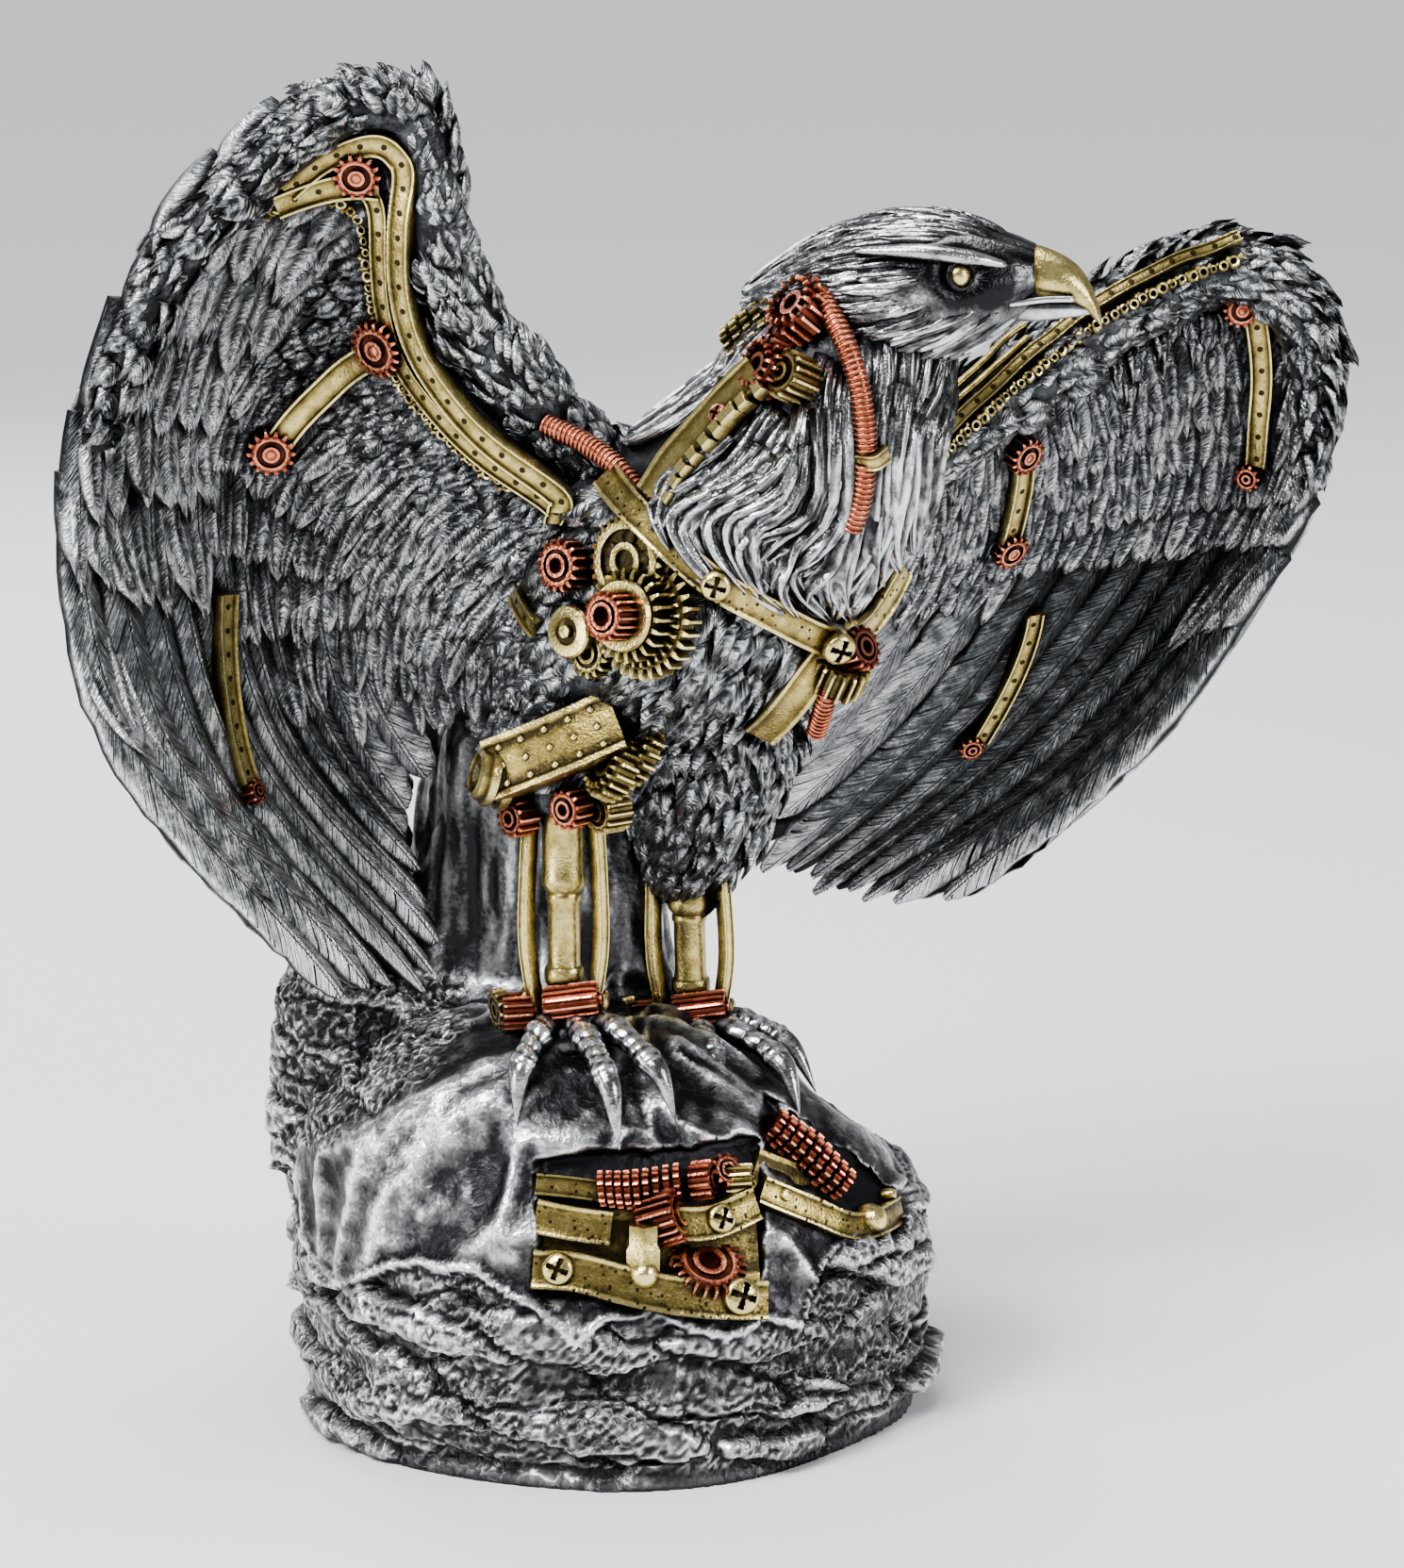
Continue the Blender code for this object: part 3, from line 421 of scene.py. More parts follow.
def blade_shares(rows):
    """Shares along a blade, closer together towards its tip."""
    return 1 - (1 - np.linspace(0, 1, rows)) ** 1.5


def blade_outline(share, blunt, root=0.72, tip=0.16):
    """Half width along a blade: it widens from the root and rounds off past the blunt share."""
    widening = root + (1 - root) * np.sin(np.clip(share / blunt, 0, 1) * np.pi / 2)
    ending = np.sqrt(np.clip(1 - np.clip((share - blunt) / (1 - blunt), 0, 1) ** 2, tip**2, 1))
    return widening * ending


def blades(clay, skin, centre, width, rise, crown, depth, columns=5, blunt=0.66, quill=0.0, notch=0.0,
           seed=1, root=0.72, ribs=0, groove=0.0):
    """Closed blades, each along its own line of shares over a skin, rising towards the tip."""
    count, rows, _ = centre.shape
    u, v = centre[..., 0], centre[..., 1]
    share = blade_shares(rows)
    t = share[None, :, None]
    place = skin.at(u, v)
    pu, pv = skin.slopes(u, v)
    out = unit(np.cross(pu, pv)) * skin.side
    ahead = unit(np.gradient(place, axis=1))
    side = unit(np.cross(ahead, out))
    uu, uv, vv = (pu * pu).sum(-1), (pu * pv).sum(-1), (pv * pv).sum(-1)
    su, sv = (side * pu).sum(-1), (side * pv).sum(-1)
    det = np.maximum(uu * vv - uv**2, 1e-6)
    du, dv = (su * vv - sv * uv) / det, (sv * uu - su * uv) / det
    width = np.asarray(width, float)
    width = np.broadcast_to(width if width.ndim == 2 else width.reshape(-1, 1), (count, rows))
    dice = np.random.default_rng(seed)
    ragged = 1 + notch * dice.uniform(-1, 0.3, (count, rows, 1)) * (t > 0.15)
    half = 0.5 * width * blade_outline(share, blunt, root)
    a = np.linspace(-1, 1, columns)
    reach = half[..., None] * a * np.where(np.abs(a) > 0.9, ragged, 1.0)
    gu, gv = u[..., None] + du[..., None] * reach, v[..., None] + dv[..., None] * reach
    spot, normal = skin.at(gu, gv), skin.normal(gu, gv)
    rise = np.broadcast_to(np.asarray(rise, float).reshape(-1, 1, 1), (count, 1, 1))
    full = np.clip(half / np.maximum(half.max(1, keepdims=True), 1e-6), 0, 1)[..., None]
    lean = dice.uniform(-0.35, 0.35, (count, 1, 1)) * rise
    height = rise * t ** 1.3 + crown * (1 - a**2) * full + lean * a * t
    height = height + quill * np.exp(-((a / 0.16) ** 2)) * (1 - 0.6 * t)
    height = height - 0.8 * (1 - t) ** 4
    turn = dice.uniform(-0.9, 0.9, (count, 1, 1)) * (0.5 + t)
    strands = np.cos(math.pi * ribs * a + turn) if ribs else np.zeros((count, rows, columns))
    height = height + groove * strands * ease(0.05, 0.4, t)
    torn = 0.5 * strands + dice.uniform(-0.5, 0.5, (count, 1, columns))
    torn = torn * half.max(1)[:, None, None] * bool(ribs)
    reached = torn * 0.55 * t ** 3
    top = spot + normal * height[..., None] + ahead[:, :, None] * reached[..., None]
    under = top[:, :, [0, -1]] - normal[:, :, [0, -1]] * depth
    points = np.concatenate([top.reshape(count, -1, 3), under.reshape(count, -1, 3)], 1)
    grid = grid_faces(rows, columns)
    first, base = rows * columns, np.arange(rows - 1)
    left, right = base * columns, base * columns + columns - 1
    low_left, low_right = first + 2 * base, first + 2 * base + 1
    quads = np.concatenate([
        grid,
        np.stack([left, left + columns, low_left + 2, low_left], -1),
        np.stack([right + columns, right, low_right, low_right + 2], -1),
        np.stack([low_left, low_left + 2, low_right + 2, low_right], -1),
    ])
    root_cap = np.concatenate([np.arange(columns)[::-1], [first, first + 1]])
    last = (rows - 1) * columns
    tip_cap = np.concatenate([last + np.arange(columns), [first + 2 * rows - 1, first + 2 * rows - 2]])
    total = rows * columns + 2 * rows
    steps = np.arange(count)[:, None, None] * total
    faces = [
        (quads[None] + steps).reshape(-1, 4),
        (root_cap[None, None] + steps).reshape(-1, columns + 2),
        (tip_cap[None, None] + steps).reshape(-1, columns + 2),
    ]
    rim = np.maximum(np.abs(a) ** 5, ease(0.80, 1.0, t)) * ease(0.1, 0.5, t)
    bright = 0.22 + 0.14 * ease(0.0, 0.7, t) + 0.40 * rim + 0.10 * (1 - a**2)
    bright = bright + 0.17 * strands * ease(0.0, 0.4, t)
    bright = np.broadcast_to(bright, (count, rows, columns)) + dice.uniform(-0.09, 0.09, (count, 1, 1))
    raised = np.concatenate([bright.reshape(count, -1), np.zeros((count, 2 * rows))], 1)
    length = np.linalg.norm(np.diff(place, axis=1), axis=-1).sum(1)
    strand = np.zeros((count, total, 3))
    strand[:, : rows * columns, 0] = reach.reshape(count, -1)
    run = np.broadcast_to(t * length[:, None, None], (count, rows, columns))
    strand[:, : rows * columns, 1] = run.reshape(count, -1)
    strand[:, :, 2] = dice.uniform(0, 50, (count, 1))
    clay.add(points, faces, raised, strand)


def arc_places(skin, v, gap, u_ends, shift=0.0):
    """Shares across a skin, a fixed number of millimetres apart along one line of it."""
    u = np.linspace(*u_ends, 90)
    line = skin.at(u, np.full_like(u, v))
    run = run_along(line)
    count = max(1, int(round(run[-1] / gap)))
    return np.interp((np.arange(count) + 0.5 + shift) / count * run[-1], run, u)


def down_lines(start, end, rows, bend=0.0):
    """Centre lines from starts to ends in shares, bowed sideways."""
    t = blade_shares(rows)
    start, end = np.asarray(start, float), np.asarray(end, float)
    lines = start[:, None] * (1 - t)[None, :, None] + end[:, None] * t[None, :, None]
    lines[..., 0] += bend * 4 * t * (1 - t)
    return lines


def courses(skin, v_ends, row_gap, gap, u_ends, seed, jitter=0.25):
    """Places in staggered rows over a skin."""
    middle = np.linspace(*v_ends, 40)
    u_middle = np.full_like(middle, sum(u_ends) / 2)
    run = np.linalg.norm(np.diff(skin.at(u_middle, middle), axis=0), axis=1).sum()
    rows = max(1, int(round(run / row_gap)))
    dice = np.random.default_rng(seed)
    found = []
    for k in range(rows):
        v = v_ends[0] + (v_ends[1] - v_ends[0]) * (k + 0.5) / rows
        u = arc_places(skin, v, gap, u_ends, 0.25 if k % 2 else -0.25)
        u = u + dice.uniform(-jitter, jitter, len(u)) * (u_ends[1] - u_ends[0]) / max(len(u), 1)
        w = v + dice.uniform(-jitter, jitter, len(u)) * (v_ends[1] - v_ends[0]) / rows
        found.append(np.stack([u, w], -1))
    return np.concatenate(found)


# Node trees

class Nodes:
    """A node tree under construction; inputs go by number or name and take values or sockets."""

    def __init__(self, tree):
        self.tree = tree

    def feed(self, socket, value):
        if isinstance(value, bpy.types.NodeSocket):
            self.tree.links.new(value, socket)
        else:
            socket.default_value = value

    def node(self, kind, settings=None, numbered=None, **named):
        made = self.tree.nodes.new(kind)
        for key, value in (settings or {}).items():
            setattr(made, key, value)
        for key, value in (numbered or {}).items():
            self.feed(made.inputs[key], value)
        for key, value in named.items():
            self.feed(made.inputs[key.replace("_", " ")], value)
        return made

    def sum(self, operation, *values, clamp=False):
        settings = {"operation": operation, "use_clamp": clamp}
        return self.node("ShaderNodeMath", settings, dict(enumerate(values))).outputs[0]


class Tree(Nodes):
    """A Geometry Nodes tree under construction, its settings given as name, kind, default and subtype."""

    def __init__(self, name, settings):
        super().__init__(bpy.data.node_groups.new(name, "GeometryNodeTree"))
        geometry, look = ("Geometry", "Geometry", None, None), ("Finish", "Material", None, None)
        for label, kind, default, subtype in (geometry, *settings, look):
            made = self.tree.interface.new_socket(label, in_out="INPUT", socket_type="NodeSocket" + kind)
            if subtype:
                made.subtype = subtype
            if default is not None:
                made.default_value = default
        self.tree.interface.new_socket("Geometry", in_out="OUTPUT", socket_type="NodeSocketGeometry")
        self.entry = self.node("NodeGroupInput").outputs

    def close(self, geometry):
        """Sets the finish on what the tree has made and hands it out."""
        done = self.node("GeometryNodeSetMaterial", Geometry=geometry, Material=self.entry["Finish"])
        self.node("NodeGroupOutput", None, {0: done.outputs[0]})
        return self.tree


def repeat_tree():
    """Sets a piece on every point, turned and grown as the point says, with a seeded scatter."""
    name = "Repeat a piece on points"
    if name in bpy.data.node_groups:
        return bpy.data.node_groups[name]
    tree = Tree(name, (
        ("Piece", "Object", None, None), ("Size", "Float", 1.0, None), ("Size Spread", "Float", 0.0, None),
        ("Lean Spread", "Float", 0.0, "ANGLE"), ("Seed", "Int", 1, None),
    ))
    entry, node, vectors = tree.entry, tree.node, {"data_type": "FLOAT_VECTOR"}
    shape = node("GeometryNodeObjectInfo", Object=entry["Piece"])
    turn = node("GeometryNodeInputNamedAttribute", vectors, Name="turn")
    turn = node("FunctionNodeEulerToRotation", None, {0: turn.outputs["Attribute"]})
    grow = node("GeometryNodeInputNamedAttribute", vectors, Name="grow")
    ends = {2: tree.sum("SUBTRACT", 1.0, entry["Size Spread"]), 3: tree.sum("ADD", 1.0, entry["Size Spread"])}
    spread = node("FunctionNodeRandomValue", None, ends, Seed=entry["Seed"])
    sized = tree.sum("MULTIPLY", spread.outputs[1], entry["Size"])
    grown = node("ShaderNodeVectorMath", {"operation": "SCALE"}, {0: grow.outputs["Attribute"]}, Scale=sized)
    copies = node(
        "GeometryNodeInstanceOnPoints", Points=entry["Geometry"], Instance=shape.outputs["Geometry"],
        Rotation=turn.outputs[0], Scale=grown.outputs[0],
    )
    ends = {0: tree.sum("MULTIPLY", entry["Lean Spread"], -1.0), 1: entry["Lean Spread"]}
    lean = node("FunctionNodeRandomValue", vectors, ends, Seed=entry["Seed"])
    leaned = node("GeometryNodeRotateInstances", Instances=copies.outputs[0], Rotation=lean.outputs[0])
    lot = node("FunctionNodeRandomValue", None, {3: 40.0}, Seed=entry["Seed"])
    marked = node(
        "GeometryNodeStoreNamedAttribute", {"data_type": "FLOAT", "domain": "INSTANCE"},
        Geometry=leaned.outputs[0], Name="lot", Value=lot.outputs[1],
    )
    real = node("GeometryNodeRealizeInstances", Geometry=marked.outputs[0])
    return tree.close(real.outputs[0])


def hose_tree():
    """A ribbed hose along a path: a core tube with a ring at every rib pitch."""
    name = "Ribbed hose along a path"
    if name in bpy.data.node_groups:
        return bpy.data.node_groups[name]
    tree = Tree(name, (
        ("Radius", "Float", 0.0028, "DISTANCE"), ("Rib Pitch", "Float", 0.0015, "DISTANCE"),
        ("Rib Thickness", "Float", 0.0006, "DISTANCE"),
    ))
    entry, node = tree.entry, tree.node

    def circle(sides, radius):
        return node("GeometryNodeCurvePrimitiveCircle", Resolution=sides, Radius=radius).outputs[0]

    path = node("GeometryNodeMeshToCurve", None, {0: entry["Geometry"]})
    even = node("GeometryNodeResampleCurve", {"mode": "LENGTH"}, Curve=path.outputs[0], Length=entry["Rib Pitch"])
    slim = tree.sum("SUBTRACT", entry["Radius"], entry["Rib Thickness"])
    core = node("GeometryNodeCurveToMesh", Fill_Caps=True, Curve=even.outputs[0], Profile_Curve=circle(16, slim))
    wire = circle(6, entry["Rib Thickness"])
    rib = node("GeometryNodeCurveToMesh", Curve=circle(20, slim), Profile_Curve=wire)
    tangent = node("GeometryNodeInputTangent").outputs[0]
    aim = node("FunctionNodeAlignRotationToVector", {"axis": "Z"}, Vector=tangent)
    ribs = node(
        "GeometryNodeInstanceOnPoints", Points=even.outputs[0], Instance=rib.outputs[0],
        Rotation=aim.outputs[0],
    )
    both = node("GeometryNodeJoinGeometry", None, {0: ribs.outputs[0]})
    tree.feed(both.inputs[0], core.outputs[0])
    real = node("GeometryNodeRealizeInstances", Geometry=both.outputs[0])
    return tree.close(node("GeometryNodeSetShadeSmooth", Geometry=real.outputs[0]).outputs[0])


def grown_mesh(carrier_mesh, tree, values):
    """The plain mesh that a tree makes from a carrier, whose inputs are set by identifier before it is run."""
    carrier = placed("carrier", carrier_mesh)
    modifier = carrier.modifiers.new("Shape", "NODES")
    modifier.node_group = tree
    names = {item.name: item.identifier for item in tree.interface.items_tree if item.in_out == "INPUT"}
    for name, value in values.items():
        modifier[names[name]] = value
    made = evaluated_mesh(carrier)
    bpy.data.meshes.remove(carrier_mesh)
    if not made.polygons:
        raise RuntimeError("The tree " + tree.name + " made no faces")
    return made


def evaluated_mesh(carrier):
    """The mesh that an object's modifiers make; the object itself is removed."""
    bpy.context.view_layer.update()
    graph = bpy.context.evaluated_depsgraph_get()
    made = bpy.data.meshes.new_from_object(
        carrier.evaluated_get(graph), preserve_all_data_layers=True, depsgraph=graph
    )
    bpy.data.objects.remove(carrier)
    return made


class Copies:
    """Places for copies of a small shape; axes are the across, ahead and outward directions."""

    def __init__(self):
        self.places, self.axes, self.grows = [], [], []

    def add(self, place, axes, grow):
        self.places.append(np.asarray(place, float))
        self.axes.append(np.asarray(axes, float))
        self.grows.append(np.broadcast_to(np.asarray(grow, float), 3))

    def cast(self, name, shape, look, spread=0.0, lean=0.0, seed=1, ruffle=0.0):
        """One piece of all the copies, set by the Repeat tree."""
        points = bpy.data.meshes.new(name + "_points")
        points.vertices.add(len(self.places))
        write_points(points, self.places)
        mark_points(points, "turn", [Matrix(np.asarray(m).T.tolist()).to_euler() for m in self.axes])
        mark_points(points, "grow", self.grows)
        template = placed(name + "_shape", shape)
        made = grown_mesh(points, repeat_tree(), {
            "Piece": template, "Size": 1.0, "Size Spread": spread, "Lean Spread": lean, "Seed": seed,
            "Finish": finish(look),
        })
        bpy.data.objects.remove(template)
        if ruffle:
            crumple(made, 2.0, ruffle, seed * 10)
        return piece(name, made, look)


def small_feather(blunt=0.45):
    """One short feather a millimetre long and wide, pointing to +Y, to be repeated and grown."""
    bowed = Skin(lambda u, v: np.stack([u + 0.22 * v**2, v, 0.13 * np.sin(3.4 * v) - 0.30 * u * u * v], -1))
    clay = Clay()
    share = blade_shares(6)
    centre = np.stack([np.zeros(6), share], -1)[None]
    blades(clay, bowed, centre, 1.0, 0.15, 0.10, 0.14, 7, blunt, ribs=3, groove=0.055)
    clay.strand = [strand * (6.0, 6.0, 0.0) for strand in clay.strand]
    return clay.mesh("small_feather")


def crumple(mesh, size, depth, seed):
    """Dents and ruffles the skin of a mesh with noise in space, so that no two copies in it are alike."""
    points = read_points(mesh) / MM
    shift = np.stack([value_noise(points, size, seed + k) for k in range(3)], -1)
    shift = shift + 0.5 * np.stack([value_noise(points, size * 0.45, seed + k) for k in range(3, 6)], -1)
    write_points(mesh, points + depth * shift)
    mesh.update()


def clear_of_fittings(places, ahead, gap):
    """Which feathers, each from its place along its reach ahead, are further from the brass and copper than the gap."""
    found = np.full(len(places), True)
    for made in bpy.context.scene.objects:
        if made.type != "MESH" or made.data.materials[:1] not in [[finish(metal)] for metal in METALS]:
            continue
        tree = BVHTree.FromObject(made, bpy.context.evaluated_depsgraph_get())
        for k, place in enumerate(places):
            for share in (0.0, 0.4, 0.8):
                spot = Vector((place + ahead[k] * share) * MM)
                if found[k] and tree.find_nearest(spot, gap * MM)[0] is not None:
                    found[k] = False
    return found


def on_skin_axes(skin, spots, flow=(0.0, 1.0)):
    """Places and axes for shapes that lie on a skin and point along a flow given in shares."""
    u, v = spots[:, 0], spots[:, 1]
    pu, pv = skin.slopes(u, v)
    out = unit(np.cross(pu, pv)) * skin.side
    flow = np.broadcast_to(np.asarray(flow, float), (len(spots), 2))
    ahead = unit(unit(pu) * flow[:, :1] + unit(pv) * flow[:, 1:])
    ahead = unit(ahead - out * (ahead * out).sum(-1, keepdims=True))
    across = np.cross(ahead, out)
    return skin.at(u, v), np.stack([across, ahead, out], 1)


# Skins of the bird

def wing_skins(flow):
    net = np.array(flow, float)

    def front(u, v):
        return np.einsum("...i,...j,ijk->...k", spline_weights(u, len(net)), spline_weights(v, net.shape[1]), net)

    probe = Skin(front)
    side = 1 if (probe.normal(np.array(0.5), np.array(0.4)) * FRONT).sum() > 0 else -1
    ventral = Skin(front, side)

    def back(u, v):
        share_u, share_v = np.clip(u, 0, 1), np.clip(v, 0, 1)
        thin = np.minimum(1.0, np.maximum(share_v / 0.7, share_u**3))
        thickness = 11.0 + (3.6 - 11.0) * thin
        return front(u, v) - unit(ventral.normal(u, v) + FRONT) * thickness[..., None]

    return ventral, Skin(back, -side)


def tube_skin(stations):
    """A round skin along stations of (x, y, z, radius): across goes round it, down goes along it."""
    stations = np.array(stations, float)

    def at(u, v):
        middle = along(stations[:, :3], v)
        radius = along(stations[:, 3:], v)
        ahead = unit(along(stations[:, :3], v + 0.01) - along(stations[:, :3], v - 0.01))
        side = unit(np.cross(ahead, FRONT))
        over = np.cross(side, ahead)
        angle = (2 * np.pi * u)[..., None]
        return middle + (side * np.cos(angle) + over * np.sin(angle)) * radius

    probe = Skin(at)
    mid = np.array(0.5)
    outward = at(np.array(0.25), mid) - along(stations[:, :3], mid)
    side = 1 if (probe.normal(np.array(0.25), mid) * outward).sum() > 0 else -1
    return Skin(at, side)


def trunk_skin():
    stations = np.array(TRUNK, float)

    def at(u, v):
        middle = along(stations[:, :3], v)
        ahead = unit(along(stations[:, :3], v - 0.03) - along(stations[:, :3], v + 0.03))
        size = along(stations[:, 3:], v)
        side = unit(np.cross(ahead, UP))
        over = unit(np.cross(side, ahead))
        angle = (2 * np.pi * (u - 0.5) - np.radians(30.0))[..., None]
        return middle + side * size[..., :1] * np.cos(angle) + over * size[..., 1:] * np.sin(angle)

    return at


def head_axes():
    turn = Matrix.Rotation(HEAD_YAW, 3, "Z") @ Matrix.Rotation(-HEAD_PITCH, 3, "Y")
    return (np.array(turn @ Vector(axis)) for axis in ((1, 0, 0), (0, 1, 0), (0, 0, 1)))


def on_head(reach, side, height):
    ahead, left, over = head_axes()
    reach, side, height = (np.asarray(value, float)[..., None] for value in (reach, side, height))
    return OCCIPUT + ahead * reach + left * side + over * height


def head_skin():
    """Across goes round the head, with its middle on the side that faces the front; down goes back from the beak."""
    stations = np.array(SKULL, float)[::-1]

    def at(u, v):
        section = along(stations, v)
        angle = 2 * np.pi * (u - 0.5) + np.pi
        height = section[..., 3] * np.sin(angle)
        flat = np.where(height > 0, 0.88, 1.0)
        return on_head(section[..., 0], section[..., 2] * np.cos(angle), height * flat - section[..., 1])

    return at


def outward_skin(at, middle):
    """The skin whose outward side points away from a middle."""
    probe = Skin(at)
    u, v = np.array(0.5), np.array(0.5)
    side = 1 if (probe.normal(u, v) * (at(u, v) - middle)).sum() > 0 else -1
    return Skin(at, side)


RIGHT_FRONT, RIGHT_BACK = wing_skins(RIGHT_WING_FLOW)
LEFT_FRONT, LEFT_BACK = wing_skins(LEFT_WING_FLOW)
RIGHT_ROLL = tube_skin(RIGHT_ARM)
LEFT_ROLL = tube_skin(LEFT_ARM)
TRUNK_SKIN = outward_skin(trunk_skin(), np.array((24.0, -24.0, 205.0)))
HEAD_SKIN = outward_skin(head_skin(), on_head(24.0, 0.0, 0.0))


def seek(skin, spots):
    """The shares on a skin of places given as (x, z) seen from the front."""
    u, v = np.meshgrid(np.linspace(0.02, 0.98, 260), np.linspace(0.0, 0.95, 260), indexing="ij")
    u, v = u.ravel(), v.ravel()
    facing = (skin.normal(u, v) * FRONT).sum(-1) > 0.05
    u, v = u[facing], v[facing]
    seen = skin.at(u, v)[:, [0, 2]]
    spots = np.asarray(spots, float).reshape(-1, 2)
    best = [np.argmin(((seen - spot) ** 2).sum(-1)) for spot in spots]
    return np.stack([u[best], v[best]], -1)


def foremost(skins, spots, out):
    """A path given as (x, z) seen from the front, on whichever skin is nearest there, a little out, and how it faces."""
    paths, turns = [], []
    for skin in skins:
        shares = seek(skin, spots[::6])
        shares = curve(shares, len(spots))
        paths.append(skin.at(shares[:, 0], shares[:, 1]))
        turns.append(skin.normal(shares[:, 0], shares[:, 1]))
    paths, turns = np.array(paths), np.array(turns)
    off = np.linalg.norm(paths[:, :, [0, 2]] - spots, axis=-1)
    near = np.argmin(paths[:, :, 1] + 4.0 * off, axis=0)
    pick = np.arange(len(spots))
    path, turn = paths[near, pick], turns[near, pick]
    for _ in range(3):
        path[1:-1] = (path[:-2] + path[1:-1] + path[2:]) / 3
        turn[1:-1] = (turn[:-2] + turn[1:-1] + turn[2:]) / 3
    turn = unit(turn)
    return path + turn * out, turn


def trunk_front(x, z, out):
    """A place before the breast or neck, as the front shows it, and the way it faces."""
    spot = seek(TRUNK_SKIN, [(x, z)])
    normal = TRUNK_SKIN.normal(spot[:, 0], spot[:, 1])[0]
    return TRUNK_SKIN.at(spot[:, 0], spot[:, 1])[0] + normal * out, normal


# Finishes

class Paint(Nodes):
    """A node material under construction."""

    def __init__(self, name):
        self.material = bpy.data.materials.new(name)
        self.material.use_nodes = True
        super().__init__(self.material.node_tree)
        self.shader = self.tree.nodes["Principled BSDF"]
        self.place = self.node("ShaderNodeTexCoord").outputs["Object"]

    def add(self, first, *others):
        for other in others:
            first = self.sum("ADD", first, other)
        return first

    def times(self, one, other):
        return self.sum("MULTIPLY", one, other)

    def swing(self, socket, size):
        """A value of 0 to 1 as a swing round nought."""
        return self.times(self.sum("SUBTRACT", socket, 0.5), size)

    def mark(self, name, output="Fac"):
        return self.node("ShaderNodeAttribute", {"attribute_name": name}).outputs[output]

    def apart(self, vector):
        return self.node("ShaderNodeSeparateXYZ", Vector=vector).outputs

    def joined(self, x, y, z=0.0):
        return self.node("ShaderNodeCombineXYZ", X=x, Y=y, Z=z).outputs[0]

    def noise(self, vector, scale, detail=2.0, roughness=0.5):
        made = self.node("ShaderNodeTexNoise", Vector=vector, Scale=scale, Detail=detail, Roughness=roughness)
        return made.outputs["Fac"]

    def cells(self, feature, vector, scale, **more):
        """How far each place is from the middle or the edge of its cell."""
        made = self.node("ShaderNodeTexVoronoi", {"feature": feature}, Vector=vector, Scale=scale, **more)
        return made.outputs["Distance"]

    def painted_shade(self, value, reach, power):
        """A value brought down where the surface is hemmed in."""
        shade = self.node("ShaderNodeAmbientOcclusion", {"samples": 4}, Distance=reach).outputs["AO"]
        return self.sum("MULTIPLY", value, self.sum("POWER", shade, power), clamp=True)

    def done(self, value, colours, stops, rough, worn, height, depth, metallic=0.95):
        """Colours a finish from dark to bright and smooths it as the value rises, over dents of a height."""
        blend = self.node("ShaderNodeValToRGB", Fac=value)
        band = blend.color_ramp
        while len(band.elements) < len(stops):
            band.elements.new(1.0)
        for element, place, colour in zip(band.elements, stops, colours):
            element.position = place
            element.color = (*colour, 1.0)
        bump = self.node("ShaderNodeBump", Height=height, Distance=depth, Strength=1.0)
        inputs = self.shader.inputs
        self.feed(inputs["Base Color"], blend.outputs["Color"])
        self.feed(inputs["Roughness"], self.sum("SUBTRACT", rough, self.times(value, worn), clamp=True))
        self.feed(inputs["Normal"], bump.outputs["Normal"])
        inputs["Metallic"].default_value = metallic
        return self.material


def silver_paint(name, colours, pitch, streak, slant=0.0, cuts=False, shine=0.0, depth=0.0005):
    """Antique silver rubbed over black: dark in the hollows, bright on what stands out, with strand lines."""
    paint = Paint(name)
    across, ahead, lot = paint.apart(paint.mark("strand", "Vector"))
    lot = paint.add(lot, paint.mark("lot"))
    wide = paint.sum("ABSOLUTE", across)
    lie = paint.sum("SUBTRACT", ahead, paint.times(wide, max(slant, 1.0)))
    fast, slow = (lie, wide) if slant else (across, ahead)
    line_place = paint.joined(paint.sum("DIVIDE", fast, pitch), paint.sum("DIVIDE", slow, pitch * 5), lot)
    lines = paint.sum("ADD", paint.swing(paint.noise(line_place, 1.0, 1.0), 2.0), 0.5, clamp=True)
    blotch = paint.noise(paint.place, 210.0, 3.0, 0.62)
    grit = paint.noise(paint.place, 1400.0, 2.0)
    value = paint.add(
        paint.mark("raised"), paint.swing(lines, streak), paint.swing(blotch, 0.65), paint.swing(grit, 0.30)
    )
    height = paint.add(lines, paint.times(grit, 0.3))
    if cuts:
        right = paint.sum("GREATER_THAN", across, 0.0)
        jog = paint.times(paint.noise(line_place, 0.35, 0.0), 0.5)
        row = paint.add(paint.sum("DIVIDE", lie, 4.2), paint.times(right, 0.43), jog)
        one = paint.joined(paint.sum("FLOOR", row), right, paint.sum("FLOOR", lot))
        chance = paint.node("ShaderNodeTexWhiteNoise", Vector=one).outputs["Value"]
        kept = paint.sum("GREATER_THAN", chance, 0.42)
        cut = paint.times(paint.sum("LESS_THAN", paint.sum("FRACT", row), 0.11), kept)
        cut = paint.times(cut, paint.sum("GREATER_THAN", wide, 0.9))
        groove = paint.sum("LESS_THAN", paint.sum("ABSOLUTE", paint.sum("SUBTRACT", wide, 0.55)), 0.14)
        cut = paint.sum("MAXIMUM", cut, paint.times(groove, 0.6))
        value = paint.sum("SUBTRACT", value, cut)
        height = paint.sum("SUBTRACT", height, cut)
    # Painted shade: darker where ambient occlusion finds the surface hemmed in.
    value = paint.painted_shade(value, 0.004, 1.7)
    return paint.done(value, colours, (0.16, 0.40, 0.72), 0.36 - shine, 0.14, height, depth)


